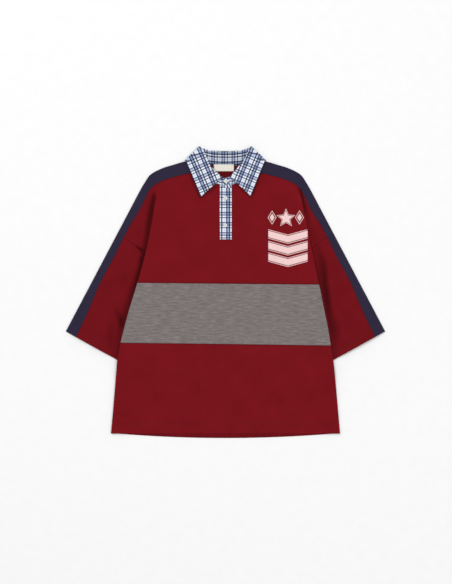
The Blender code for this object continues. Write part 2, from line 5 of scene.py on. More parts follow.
import bmesh
import bpy
import numpy as np
from mathutils import Vector
from mathutils.bvhtree import BVHTree
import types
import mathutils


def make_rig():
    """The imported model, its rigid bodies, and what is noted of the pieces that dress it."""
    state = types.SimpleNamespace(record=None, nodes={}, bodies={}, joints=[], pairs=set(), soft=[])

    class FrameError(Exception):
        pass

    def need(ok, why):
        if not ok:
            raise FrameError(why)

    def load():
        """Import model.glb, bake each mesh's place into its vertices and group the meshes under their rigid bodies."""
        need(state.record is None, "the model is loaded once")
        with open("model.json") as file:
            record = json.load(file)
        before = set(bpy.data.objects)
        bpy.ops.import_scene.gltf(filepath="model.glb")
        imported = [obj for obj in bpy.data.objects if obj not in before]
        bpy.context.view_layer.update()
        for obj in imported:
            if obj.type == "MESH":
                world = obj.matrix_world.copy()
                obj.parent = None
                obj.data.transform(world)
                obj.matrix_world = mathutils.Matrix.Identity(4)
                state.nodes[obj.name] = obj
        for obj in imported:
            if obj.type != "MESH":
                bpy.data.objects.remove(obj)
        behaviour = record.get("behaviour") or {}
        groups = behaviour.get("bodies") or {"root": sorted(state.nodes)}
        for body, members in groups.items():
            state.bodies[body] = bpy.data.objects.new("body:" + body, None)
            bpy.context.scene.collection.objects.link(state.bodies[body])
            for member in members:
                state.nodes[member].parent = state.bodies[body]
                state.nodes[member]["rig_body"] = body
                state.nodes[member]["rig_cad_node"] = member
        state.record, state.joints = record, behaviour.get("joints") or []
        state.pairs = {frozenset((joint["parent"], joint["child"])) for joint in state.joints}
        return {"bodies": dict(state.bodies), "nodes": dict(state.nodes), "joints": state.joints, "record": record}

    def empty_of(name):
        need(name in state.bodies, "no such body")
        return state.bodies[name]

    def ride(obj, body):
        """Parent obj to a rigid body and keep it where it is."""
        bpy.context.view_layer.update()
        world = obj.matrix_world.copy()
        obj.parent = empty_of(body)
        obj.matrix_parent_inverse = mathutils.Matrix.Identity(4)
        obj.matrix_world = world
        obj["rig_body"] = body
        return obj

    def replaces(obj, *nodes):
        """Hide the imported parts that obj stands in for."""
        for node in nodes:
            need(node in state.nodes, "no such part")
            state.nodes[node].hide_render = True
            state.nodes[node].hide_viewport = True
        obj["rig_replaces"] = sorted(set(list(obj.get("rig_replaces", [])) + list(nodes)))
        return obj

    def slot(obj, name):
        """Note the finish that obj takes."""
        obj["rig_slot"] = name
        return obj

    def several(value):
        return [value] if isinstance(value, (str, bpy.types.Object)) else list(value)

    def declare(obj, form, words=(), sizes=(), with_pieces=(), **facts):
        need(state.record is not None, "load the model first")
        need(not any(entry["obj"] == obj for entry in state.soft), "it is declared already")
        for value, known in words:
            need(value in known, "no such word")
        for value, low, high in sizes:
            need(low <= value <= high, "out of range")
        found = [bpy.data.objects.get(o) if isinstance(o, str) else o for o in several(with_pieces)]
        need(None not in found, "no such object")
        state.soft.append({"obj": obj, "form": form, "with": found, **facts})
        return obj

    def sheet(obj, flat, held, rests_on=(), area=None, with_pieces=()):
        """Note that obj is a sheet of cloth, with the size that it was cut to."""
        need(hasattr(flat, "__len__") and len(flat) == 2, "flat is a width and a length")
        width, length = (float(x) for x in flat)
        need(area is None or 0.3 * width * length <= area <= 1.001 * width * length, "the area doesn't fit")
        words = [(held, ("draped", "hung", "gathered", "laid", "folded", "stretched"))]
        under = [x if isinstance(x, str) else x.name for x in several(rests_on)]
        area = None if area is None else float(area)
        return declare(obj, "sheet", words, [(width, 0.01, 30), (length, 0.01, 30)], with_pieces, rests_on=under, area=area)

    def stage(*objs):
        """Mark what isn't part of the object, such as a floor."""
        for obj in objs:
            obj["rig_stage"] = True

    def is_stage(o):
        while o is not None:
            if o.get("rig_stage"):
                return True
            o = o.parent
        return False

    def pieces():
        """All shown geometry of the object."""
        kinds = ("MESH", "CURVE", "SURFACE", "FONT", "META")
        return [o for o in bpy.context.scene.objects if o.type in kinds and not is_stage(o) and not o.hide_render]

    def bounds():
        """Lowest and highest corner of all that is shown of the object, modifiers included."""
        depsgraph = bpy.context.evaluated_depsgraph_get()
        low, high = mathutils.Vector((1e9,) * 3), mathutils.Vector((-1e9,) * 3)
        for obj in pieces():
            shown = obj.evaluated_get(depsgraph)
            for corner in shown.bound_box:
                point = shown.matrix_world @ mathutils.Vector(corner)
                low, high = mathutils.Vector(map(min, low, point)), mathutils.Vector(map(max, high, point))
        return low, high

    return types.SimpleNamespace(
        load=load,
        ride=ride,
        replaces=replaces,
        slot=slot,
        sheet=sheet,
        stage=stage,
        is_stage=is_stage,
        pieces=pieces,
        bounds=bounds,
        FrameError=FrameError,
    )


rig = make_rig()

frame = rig.load()


def as_lists(box):
    return [[float(value) for value in corner] for corner in box]


CAD_BOX = as_lists(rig.bounds())


def table(kind, *rows):
    return [kind(*row) for row in rows]



# ---------------------------------------------------------------- sizes, in millimetres
# +X is the wearer's left, +Y the collar and +Z up from the floor. The outlines are the part's own.
# FOLD, NECK, the leaf's and the stand's tables have been refined from it, and so have the heights.
MM = 0.001
CLOTH = 1.2
SHELL = 1.0                 # wall of the detailed jersey
COLLAR_CLOTH = 1.5
GAP = 0.3
PITCH = CLOTH + GAP + 0.05
BACK_Z = 0.5
FRONT_Z = 2.15

HEM_Y = -367.0
BAND_TOP_Y = 22.3
BAND_BOTTOM_Y = -134.5
BACK_HEM_DROP = 12.0
LEAF_BACK_Y = 312.0
LEAF_SIDE = Vector((105.2, 343.0))
LEAF_PEAK = Vector((67.3, 379.4))
NECK_LIFT = 1.9
NECK_RAMP = 34.0
NECK_RAMP_START = 40.0
BACK_NECK_Y = 326.0
BACK_NECK_RISE = 21.0
NECK_SIDE_X = 80.0
STAND_SEAM = 1.0
PLACKET_LEFT = -14.8
PLACKET_RIGHT = 16.4
PLACKET_TOP = 277.5
PLACKET_BOTTOM = 137.2
SLIT_WIDTH = 4.0
SLIT_BOTTOM = 150.0
NECK_SEAM = 1.2
ARMHOLE_FRONT_BEND = np.array((-4.6, 20.9))
ARMHOLE_BACK_BEND = np.array((0.0, 18.5))
UNDERARM_TOP = np.array((166.0, 17.0))
UNDERARM_HEM = np.array((237.6, -199.8))
BACK_FOLD_TOP = Vector((195.0, 160.0))
BACK_FOLD_MARGIN = 9.0
BACK_FOLD_RAMP = 7.0
ALONG_SLEEVE = np.array((0.466, -0.885))
ACROSS_SLEEVE = np.array((-0.885, -0.466))
FROM_ARMHOLE = np.array((0.59, -0.807))
BODY_SEAM = np.array((GAP, GAP * 0.4))

Shoulder = namedtuple("Shoulder", "edge_x edge_y front_x front_y front_row back_x back_y back_row")
SHOULDER = table(Shoulder,
    (80.0, 344.0, 66.0, 311.5, 311.5, 38.0, 331.0, 326.0),
    (104.5, 340.0, 96.0, 308.5, 308.5, 96.4, 313.8, 306.0),
    (132.6, 332.2, 125.0, 302.0, 302.0, 125.0, 304.5, 296.0),
    (165.4, 321.8, 157.0, 292.5, 292.5, 156.0, 293.5, 284.0),
    (194.5, 306.2, 176.0, 284.0, 282.0, 174.7, 282.3, 271.0),
    (209.8, 285.4, 193.0, 271.5, 264.0, 184.0, 268.9, 256.0),
    (222.0, 264.6, 202.5, 256.0, 238.0, 191.9, 248.8, 238.0),
    (243.0, 224.8, 221.5, 216.0, 180.0, 212.0, 208.5, 195.0),
    (262.0, 188.7, 244.5, 179.4, 104.0, 228.4, 171.0, 160.0),
    (279.7, 155.1, 264.0, 143.6, BAND_TOP_Y, 247.3, 131.4, 125.0),
)
Stripe = namedtuple("Stripe", "edge_x edge_y front_x front_y back_x back_y")
STRIPE = table(Stripe,
    (279.7, 155.1, 264.0, 143.6, 247.3, 131.4),
    (310.1, 97.5, 291.0, 88.0, 272.9, 77.9),
    (345.0, 31.3, 326.5, 21.5, 309.6, 12.7),
    (380.0, -35.1, 355.7, -47.9, 350.8, -50.5),
    (415.0, -101.5, 388.2, -116.3, 388.8, -116.0),
)
Fold = namedtuple("Fold", "y right left depth_right depth_left step middle top")
FOLD = table(Fold,
    (-380, 298.4, 298.4, 6.0, 6.0, 280.0, 0.0, 1.0),
    (-240, 286.5, 286.5, 6.0, 6.0, 262.0, 0.0, 1.0),
    (-206, 283.6, 283.4, 7.0, 7.0, 233.0, 2.0, 3.0),
    (-172, 280.5, 279.5, 18.0, 18.0, 221.0, 2.0, 3.0),
    (-131, 271.7, 273.0, 33.0, 35.0, 206.0, 2.0, 3.0),
    (-89, 261.3, 266.0, 46.0, 51.0, 190.0, 2.0, 3.0),
    (-47.5, 250.1, 257.5, 57.0, 65.0, 174.0, 2.0, 3.0),
    (22, 229.0, 243.5, 65.0, 79.5, 156.0, 2.0, 3.0),
    (77, 214.5, 232.0, 52.0, 67.0, 157.0, 2.0, 3.0),
    (119, 204.1, 222.3, 38.0, 50.0, 160.0, 2.0, 3.0),
    (161, 195.3, 214.5, 20.0, 26.0, 166.0, 1.0, 2.0),
    (185, 191.0, 210.0, 10.0, 12.0, 166.0, 1.0, 2.0),
    (208, 187.2, 204.8, 6.0, 7.0, 160.0, 0.8, 1.7),
    (235, 184.3, 199.3, 3.0, 6.0, 154.0, 0.5, 1.2),
    (262, 181.0, 194.3, -12.0, 3.0, 150.0, 0.2, 0.6),
    (282, 176.0, 187.0, -20.0, -12.0, 148.0, 0.0, 0.0),
    (300, 172.0, 182.0, -20.0, -20.0, 146.0, 0.0, 0.0),
)
Side = namedtuple("Side", "edge_x edge_y row")
BACK_SIDE = table(Side,
    (209.5, 101.6, 100.0),
    (230.0, 36.0, 36.0),
    (252.0, -47.0, -47.0),
    (271.0, -131.0, -131.0),
    (279.5, -175.0, -175.0),
    (284.5, -222.0, -222.0),
    (291.0, -294.0, -296.0),
    (297.7, -366.0, HEM_Y - BACK_HEM_DROP + 0.2),
)
Neck = namedtuple("Neck", "y x")
NECK = table(Neck,
    (268.0, SLIT_WIDTH / 2),
    (272.0, 5.0),
    (276.0, 11.0),
    (280.0, 19.5),
    (283.0, 35.0),
    (285.0, 44.5),
    (290.0, 49.5),
    (300.0, 59.0),
    (321.0, 70.5),
    (337.0, 76.5),
)
Tilt = namedtuple("Tilt", "y slope")
TILT = table(Tilt,
    (HEM_Y, 0.0),
    (-250, 0.0),
    (BAND_BOTTOM_Y, -0.013),
    (BAND_TOP_Y, -0.0095),
    (120, 0.0),
    (312, 0.0),
)
Leaf = namedtuple("Leaf", "roll_x roll_y edge_x edge_y foot_x foot_y roll_z")
LEAF_RIGHT = table(Leaf,
    (7.5, 298.6, 64.5, 247.4, 16.0, 281.0, 7.6),
    (24.0, 313.0, 75.0, 273.0, 41.0, 285.0, 7.6),
    (38.5, 329.5, 85.5, 298.0, 57.5, 300.5, 8.0),
    (48.0, 348.0, 94.5, 320.0, 68.0, 321.0, 8.6),
    (55.5, 366.0, 100.5, 334.0, 74.5, 336.5, 9.0),
)
LEAF_LEFT = table(Leaf,
    (10.5, 300.5, 66.5, 248.8, 25.0, 282.5, 7.2),
    (24.5, 315.0, 75.5, 273.0, 44.0, 290.0, 7.6),
    (39.0, 333.5, 85.0, 298.0, 60.0, 304.0, 8.0),
    (50.5, 347.0, 94.0, 320.0, 69.0, 323.0, 8.6),
    (58.0, 366.0, 100.5, 334.0, 74.5, 336.5, 9.0),
)
LeafBack = namedtuple("LeafBack", "roll_x roll_y edge_x edge_y foot_x")
LEAF_BACK = table(LeafBack,
    (56.0, 373.5, 94.0, 335.5, 72.0),
    (42.0, 369.4, 70.0, 324.0, 56.0),
    (22.0, 367.2, 36.0, 315.0, 28.0),
    (0.0, 366.8, 0.0, LEAF_BACK_Y, 0.0),
)
ROLL_RADIUS = 1.0
ROLL_INSIDE = 1.2
STAND_BELOW_ROLL = 2.1
TURN_ROLL_RADIUS = 4.15
TURN_EDGE_RADIUS = 2.5
LEAF_CLEARANCE = 0.65
LEAF_SLOPE = 1.15
End = namedtuple("End", "top_x top_y foot_x foot_y top_z foot_z")
END_RIGHT = table(End,  # this end crosses over the other and comes down to the placket
    (-15.8, 274.6, -14.2, 271.4, 6.5, 6.4),
    (-13.6, 281.0, -8.5, 271.0, 6.9, 6.5),
    (-9.5, 287.5, -2.0, 271.8, 7.1, 6.5),
    (-4.0, 293.0, 5.0, 273.8, 7.2, 6.3),
    (2.0, 297.3, 11.5, 277.0, 7.1, 5.0),
)
END_LEFT = table(End,
    (-6.0, 293.5, -3.0, 272.5, 3.3, 2.6),
    (1.0, 297.0, 8.0, 275.0, 3.9, 2.9),
    (6.5, 299.5, 17.5, 279.5, 4.9, 3.0),
)
STAND_SIDE_FOOT = Vector((78.2, 345.4))
STAND_FOOT_RADIUS = 0.8

# How the cloth stands off its layers, beyond the part's own flat ones
Puff = namedtuple("Puff", "y body sleeve")
PUFF = table(Puff,  # height of the body's fold and of the sleeve beside it
    (-380, 1.2, 4.0),
    (-250, 1.6, 4.0),
    (-200, 2.6, 4.5),
    (-120, 3.4, 5.2),
    (20, 3.8, 6.0),
    (180, 3.6, 5.6),
    (235, 3.0, 4.6),
    (262, 1.5, 2.6),
    (292, 0.0, 0.6),
    (330, 0.0, 0.0),
)
# The dark column is how strongly shade is painted into the cloth's colour in the valley beside the fold.
Trough = namedtuple("Trough", "y offset rise dark")
TROUGH_RIGHT = table(Trough,  # the valley in the sleeve beside the fold: how far out, how wide, how dark
    (-210, 2.0, 40.0, 0.35),
    (-150, 3.0, 36.0, 0.45),
    (-110, 5.0, 28.0, 0.6),
    (-78, 8.0, 24.0, 0.9),
    (-40, 4.0, 26.0, 0.7),
    (10, 3.0, 23.0, 0.95),
    (50, 3.0, 18.0, 1.0),
    (99, 3.0, 14.0, 1.0),
    (125, 5.0, 12.0, 0.75),
    (170, 6.0, 15.0, 1.0),
    (207, 5.5, 18.0, 1.0),
    (224, 4.5, 17.0, 1.0),
    (240, 3.5, 15.0, 1.0),
    (254, 2.5, 11.0, 0.9),
    (264, 1.5, 7.0, 0.3),
    (275, 1.5, 8.0, 0.0),
)
TROUGH_LEFT = table(Trough,
    (-210, 2.0, 40.0, 0.35),
    (-150, 3.0, 36.0, 0.5),
    (-100, 5.0, 28.0, 0.7),
    (-45, 10.0, 20.0, 0.9),
    (0, 13.0, 18.0, 1.0),
    (40, 17.0, 17.0, 0.9),
    (85, 21.0, 18.0, 0.65),
    (112, 14.0, 18.0, 0.3),
    (170, 3.0, 18.0, 0.25),
    (205, 3.0, 14.0, 0.5),
    (225, 3.0, 11.0, 0.8),
    (250, 2.5, 8.0, 1.0),
    (268, 2.0, 7.0, 0.9),
    (285, 2.0, 8.0, 0.0),
)
BODY_FALL = 90.0            # the raised body falls to the flat over this width
FOLD_SOFT = 42.0            # and its rounded edge over this one
EDGE_ROUND = 46.0           # the sleeve's outer edge is round over this width

Crease = namedtuple("Crease", "x0 y0 x1 y1 width height")
BODY_CREASES = table(Crease,  # soft ridges and troughs of the front, from point to point
    (-150, 262, -122, 150, 26, 0.9),
    (-98, 225, -70, 96, 30, -0.7),
    (-160, 120, -118, 40, 22, 0.7),
    (-19, 76, -22, 36, 5, -0.45),
    (-8, 74, -6, 30, 6, 0.4),
    (52, 246, 76, 120, 32, 0.7),
    (92, 60, 64, -40, 34, -0.5),
    (160, 60, 140, -20, 24, 0.6),
    (-214, -160, -226, -286, 20, -1.0),
    (-178, -150, -190, -250, 24, 0.8),
    (-100, -180, -84, -290, 28, 0.6),
    (34, -205, 30, -270, 9, -0.45),
    (60, -190, 52, -300, 30, 0.6),
    (122, -150, 134, -218, 12, -0.45),
    (262, -250, 196, -330, 20, -1.1),
    (240, -200, 170, -290, 26, 0.8),
    (-20, -300, -60, -352, 26, 0.5),
    (-222, -300, -258, -350, 20, 0.6),
    (110, -320, 150, -356, 22, 0.5),
)
SLEEVE_CREASES_RIGHT = table(Crease,
    (-230, 118, -206, 100, 5.0, -3.0),
    (-222, 96, -214, 60, 7.0, -1.6),
    (-256, 118, -236, 128, 9.0, 1.0),
    (-262, 60, -280, -10, 14, -0.9),
    (-300, 30, -326, -50, 20, 1.0),
    (-284, -40, -268, -88, 9, -1.7),
    (-296, -60, -300, -150, 13, -1.2),
    (-340, -60, -352, -110, 18, -0.7),
)
SLEEVE_CREASES_LEFT = table(Crease,
    (226, 106, 246, 120, 8.0, -0.7),
    (270, 90, 274, 10, 16, 0.9),
    (300, 40, 322, -50, 20, -0.7),
    (284, -60, 292, -130, 15, -1.4),
    (318, -30, 330, -120, 18, 0.8),
    (300, -150, 330, -120, 14, -0.8),
    (236, 170, 246, 150, 9.0, 0.8),
)


# ---------------------------------------------------------------- reading the tables

def smooth(t):
    t = np.clip(t, 0.0, 1.0)
    return t * t * (3 - 2 * t)


def mix(a, b, t):
    return a + (b - a) * t


def column(rows, name):
    return np.array([getattr(row, name) for row in rows], float)


def spot(row, name):
    """A row's point of this name."""
    return getattr(row, name + "_x"), getattr(row, name + "_y")


def line(rows, name, y):
    return np.interp(y, column(rows, "y"), column(rows, name))


def curve(rows, name, y):
    """A table's column at height y, on a smooth line through its rows."""
    ys, vs = column(rows, "y"), column(rows, name)
    slope = np.gradient(vs, ys)
    y = np.clip(y, ys[0], ys[-1])
    i = np.clip(np.searchsorted(ys, y) - 1, 0, len(ys) - 2)
    width = ys[i + 1] - ys[i]
    t = (y - ys[i]) / width
    return ((1 + 2 * t) * (1 - t) ** 2 * vs[i] + t * (1 - t) ** 2 * width * slope[i]
            + t * t * (3 - 2 * t) * vs[i + 1] + t * t * (t - 1) * width * slope[i + 1])


def ease(rows, name, y):
    """A table's column that turns gently at each row."""
    ys, vs = column(rows, "y"), column(rows, name)
    y = np.clip(y, ys[0], ys[-1])
    i = np.clip(np.searchsorted(ys, y) - 1, 0, len(ys) - 2)
    return mix(vs[i], vs[i + 1], smooth((y - ys[i]) / (ys[i + 1] - ys[i])))


def along(rows, stations):
    """The table's rows at these stations, on smooth lines. Station 1.5 is half way from row 1 to 2."""
    values = np.array([tuple(row) for row in rows], float)
    last = len(values) - 1
    out = []
    for s in stations:
        i = int(min(max(s, 0), last - 1e-9))
        t = s - i
        a, b = values[i], values[i + 1]
        slope_a = (b - values[max(i - 1, 0)]) / (2 if i > 0 else 1)
        slope_b = (values[min(i + 2, last)] - a) / (2 if i + 2 <= last else 1)
        out.append((2 * t**3 - 3 * t**2 + 1) * a + (t**3 - 2 * t**2 + t) * slope_a
                   + (3 * t**2 - 2 * t**3) * b + (t**3 - t**2) * slope_b)
    return [type(rows[0])(*row) for row in out]


def graded(low, high, step, fine):
    """Even steps from low to high, with finer ones at both ends."""
    count = max(int(round(abs(high - low) / step)), 4)
    even = np.linspace(low, high, count + 1)
    sign = 1 if high > low else -1
    ends = [low + sign * f for f in fine] + [high - sign * f for f in fine]
    inner = [v for v in even if min(abs(v - low), abs(v - high)) > fine[-1] * 1.3 or v in (low, high)]
    return sorted(set(inner + ends), reverse=high < low)


# ---------------------------------------------------------------- heights of the cloth

def neck_lift(x, y):
    edge = LEAF_BACK_Y + (LEAF_SIDE.y - LEAF_BACK_Y) * (x / LEAF_SIDE.x) ** 2
    return NECK_LIFT * smooth((y - edge + NECK_RAMP_START) / NECK_RAMP)


def segment_distance(x, y, ax, ay, bx, by):
    """Distance from points to a segment, and how far along it the nearest point is."""
    dx, dy = bx - ax, by - ay
    t = np.clip(((x - ax) * dx + (y - ay) * dy) / (dx * dx + dy * dy), 0, 1)
    return np.hypot(x - ax - t * dx, y - ay - t * dy), t


OUTER = along(SHOULDER, np.linspace(1, 9, 33))[:-1]
OUTER = [spot(row, "edge") for row in OUTER + along(STRIPE, np.linspace(0, 4, 9))] + [(440.0, -149.0)]


def far_from(x, y, points):
    """Distance from points to a line through these corners."""
    best = np.full(np.broadcast(x, y).shape, 1e6)
    for (ax, ay), (bx, by) in zip(points, points[1:]):
        best = np.minimum(best, segment_distance(x, y, ax, ay, bx, by)[0])
    return best


def edge_distance(x, y):
    """Distance from the outer edge of shoulder and sleeve."""
    return far_from(x, y, OUTER)


def creases(rows, x, y):
    """Soft troughs and ridges that fade at their ends."""
    total = np.zeros(np.broadcast(x, y).shape)
    for row in rows:
        far, t = segment_distance(x, y, row.x0, row.y0, row.x1, row.y1)
        fade = 0.35 + 0.65 * np.sin(pi * np.clip(t, 0.02, 0.98)) ** 0.7
        total += row.height * fade * np.exp(-(far / row.width) ** 2)
    return total


def fold_x(side, y):
    return curve(FOLD, "right" if side < 0 else "left", y)


def trough(side):
    return TROUGH_RIGHT if side < 0 else TROUGH_LEFT


def sleeve_bends(side, x, y):
    return creases(SLEEVE_CREASES_RIGHT if side < 0 else SLEEVE_CREASES_LEFT, side * x, y)


def past_valley(side, x, y):
    """How far out of the valley's middle a point lies."""
    return x - fold_x(side, y) - curve(trough(side), "offset", y)


def valley(side, x, y):
    """0 in the valley beside the fold, 1 on the open sleeve. x is on the positive side."""
    rows = trough(side)
    out = past_valley(side, x, y)
    inner = 0.35 * smooth(-out / 14.0) * smooth((x - fold_x(side, y) + 2.0) / 6.0)
    return np.maximum(smooth(out / curve(rows, "rise", y)), inner)


SLEEVE_SHADE = 0.16          # the sleeves lie a little in the body's shade


def dark(side, x, y):
    """How much shade is painted into the cloth's colour: it follows how far into the valley beside the fold a point
    lies, with more in the sleeve's creases.
    """
    rows = trough(side)
    out = past_valley(side, x, y)
    width = np.where(out > 0, curve(rows, "rise", y) * 0.55, np.maximum(curve(rows, "offset", y), 6.0))
    crease = np.clip(-sleeve_bends(side, x, y) - 0.5, 0, 1.4) * 0.35
    painted_shade = np.clip(line(rows, "dark", y), 0, 1) * np.exp(-(out / width) ** 2)
    return np.clip(np.maximum(painted_shade, SLEEVE_SHADE) + crease, 0, 1)


def sleeve_puff(side, x, y):
    """How far the front layer of the shoulder and sleeve stands up. It's down at both its edges."""
    edge = np.sin(pi / 2 * np.clip(edge_distance(x, y) / EDGE_ROUND, 0, 1)) ** 0.8
    high = curve(PUFF, "sleeve", y) * edge * valley(side, x, y)
    bends = sleeve_bends(side, x, y) * smooth(edge_distance(x, y) / 20.0)
    return np.maximum(high + bends * np.where(x > fold_x(side, y) - 8, 1.0, 0.0), -0.6)


def fold_top(y):
    return ease(FOLD, "top", y) * PITCH + curve(PUFF, "body", y)


def inner_x(y):
    return float(line(NECK, "x", y)) + (NECK_SEAM if y > NECK[0].y else 0.0)


def body_lift(x, y, start, end):
    """How far the visible front is raised by what it lies on, from its fold inward."""
    step = np.minimum(line(FOLD, "step", y), start - 4)
    full = np.maximum(step, mix(start, end, 0.6))
    low = np.maximum(full - BODY_FALL, mix(full, end, 0.7))
    share = smooth((x - low) / (full - low))
    soft = np.exp(-((start - x) / FOLD_SOFT) ** 2)
    return ease(FOLD, "top", y) * PITCH * share + curve(PUFF, "body", y) * soft


def seam_dip(far, depth=0.9, width=1.7):
    return -depth * np.exp(-(far / width) ** 2)


def tilted(x, y):
    return y + line(TILT, "slope", y) * x


# ---------------------------------------------------------------- making meshes

def apply_modifiers(made):
    """Puts what the modifiers make into the mesh."""
    graph = bpy.context.evaluated_depsgraph_get()
    mesh = bpy.data.meshes.new_from_object(made.evaluated_get(graph), depsgraph=graph)
    made.modifiers.clear()
    old = made.data
    made.data = mesh
    bpy.data.meshes.remove(old)
    mesh.name = made.name
    return made


def placed(name, data):
    """A new object in the scene."""
    made = bpy.data.objects.new(name, data)
    bpy.context.scene.collection.objects.link(made)
    return made


def mesh_of(name, verts, faces):
    """A mesh from points in millimetres."""
    mesh = bpy.data.meshes.new(name)
    mesh.from_pydata([tuple(point) for point in np.asarray(verts, float) * MM], [], faces)
    return mesh


def walled(made, thickness):
    """Gives a sheet its even thickness, in millimetres."""
    solid = made.modifiers.new("Wall", "SOLIDIFY")
    solid.thickness = thickness * MM
    solid.offset = 0.0
    return apply_modifiers(made)


def piece(name, verts, faces, look, slot, replaces=()):
    """An object from points in millimetres that rides on the part."""
    mesh = mesh_of(name, verts, faces)
    mesh.materials.append(look)
    mesh.shade_smooth()
    made = placed(name, mesh)
    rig.ride(made, "root")
    if replaces:
        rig.replaces(made, *replaces)
    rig.slot(made, slot)
    return made


def quads(rows, columns, wrap=False, skip=None):
    """Faces of a grid of points. wrap joins each row's end to its start."""
    faces = []
    for i in range(rows - 1):
        for j in range(columns if wrap else columns - 1):
            if not (skip and skip(i, j)):
                a, b = i * columns + j, i * columns + (j + 1) % columns
                faces.append((a, b, b + columns, a + columns))
    return faces


UV_SIZE = 100.0             # millimetres in one unit of the cloth's own coordinates


def cloth(name, grid, look, slot, thickness=SHELL, uv=None, shade=None, is_open=None):
    """A closed sheet of even thickness on a grid of points. uv is its grain in millimetres."""
    grid = np.asarray(grid, float)
    rows, columns = grid.shape[:2]
    if uv is None:
        uv = grid[..., :2]
    faces = quads(rows, columns, skip=is_open)
    made = piece(name + "_cloth", grid.reshape(-1, 3), faces, look, slot, (name,))
    mesh = made.data
    layer = mesh.uv_layers.new(name="cloth")
    loops = np.zeros(len(mesh.loops), np.int32)
    mesh.loops.foreach_get("vertex_index", loops)
    places = (np.asarray(uv, float) / UV_SIZE).reshape(-1, 2)[loops]
    layer.data.foreach_set("uv", places.astype(np.float32).ravel())
    # shade is painted shade: it goes into the valley attribute, which darkens the cloth's colour.
    tone = np.zeros(rows * columns) if shade is None else np.asarray(shade, float).ravel()
    mesh.attributes.new("valley", "FLOAT", "POINT").data.foreach_set("value", tone.astype(np.float32))
    return walled(made, thickness)


# ---------------------------------------------------------------- seams of the jersey

STRIP_SEAM = [spot(row, "front") for row in along(SHOULDER, np.linspace(0, 9, 46))]
SLEEVE_SEAM = [spot(row, "front") for row in along(STRIPE, np.linspace(0, 4, 17))]
HEM_DEPTH = 26.0
SLEEVE_HEM = 22.0
HEM_ROWS_APART = 6.0


def armhole_point(t):
    """The armhole seam's front, from the stripe to the turn under the arm."""
    start = np.array(spot(STRIPE[0], "front"))
    return mix(start, UNDERARM_TOP, t) + ARMHOLE_FRONT_BEND * (1 - abs(2 * t - 1))


ARMHOLE = [tuple(armhole_point(t)) for t in np.linspace(0, 1, 13)]


def sleeve_side_dip(x, y):
    """How far the sleeve side's front cloth goes down at its seams."""
    near = np.minimum(far_from(x, y, STRIP_SEAM), far_from(x, y, SLEEVE_SEAM))
    return seam_dip(near, 0.8) + seam_dip(far_from(x, y, ARMHOLE), 1.0, 1.8)


def hem_step(far, depth):
    """The turned-up hem stands up a little below its stitching. far is the distance from the edge."""
    rows = seam_dip(np.abs(far - depth), 0.45, 2.2) + seam_dip(np.abs(far - depth + HEM_ROWS_APART), 0.3, 1.6)
    return 0.5 * smooth((depth - far) / 3.0) + rows


# ---------------------------------------------------------------- front of the body

ARC_POINTS = 6
MIDDLE_POINTS = 5
START_RAMP = 14.0
UNDER_STEPS = np.concatenate(([0, 0.012, 0.025, 0.05], np.linspace(0.09, 1.0, 16)))
TOP_STEPS = np.linspace(0, 1, 49)[1:] ** 1.2
FOLD_INSET = 2.0
TURN_INSET = 2.0
FOLD_INSET_SHARE = 0.4
TURN_INSET_SHARE = 0.2


def half_turn(centre, low, high, outward):
    """Points of a half turn between two layers, from the low one to the high one."""
    radius = (high - low) / 2
    angle = pi * np.arange(1, ARC_POINTS + 1) / (ARC_POINTS + 1) - pi / 2
    return centre + outward * radius * np.cos(angle), (low + high) / 2 + radius * np.sin(angle)


def fold_path(turn, fold, middle, top):
    """Points across the fold, from the inner turn at height 0 to the fold at height top."""
    radius = (top - middle) / 2
    centre = fold - CLOTH / 2 - radius
    inner = min(turn, centre - 3.0)
    ax, az = half_turn(inner, 0.0, middle, -0.4)
    bx, bz = half_turn(centre, middle, top, 1)
    flat_x = np.linspace(inner, centre, MIDDLE_POINTS)
    folded_x = np.concatenate((ax, flat_x, bx, [centre]))
    folded_z = np.concatenate((az, np.full(MIDDLE_POINTS, middle), bz, [top]))
    t = np.linspace(0, 1, len(folded_x) + 1)[1:]
    end = min(fold, turn - START_RAMP)
    share = smooth((fold - turn + 10.0) / 16.0)
    return mix(mix(turn, end, t), folded_x, share), mix(top * smooth(t), folded_z, share)


LOWEST = -0.6               # deeper than this the front would press into the back


def above(value, low):
    """The value, eased so that it stays above low."""
    return low + ((value - low) + np.sqrt((value - low) ** 2 + 0.03)) / 2


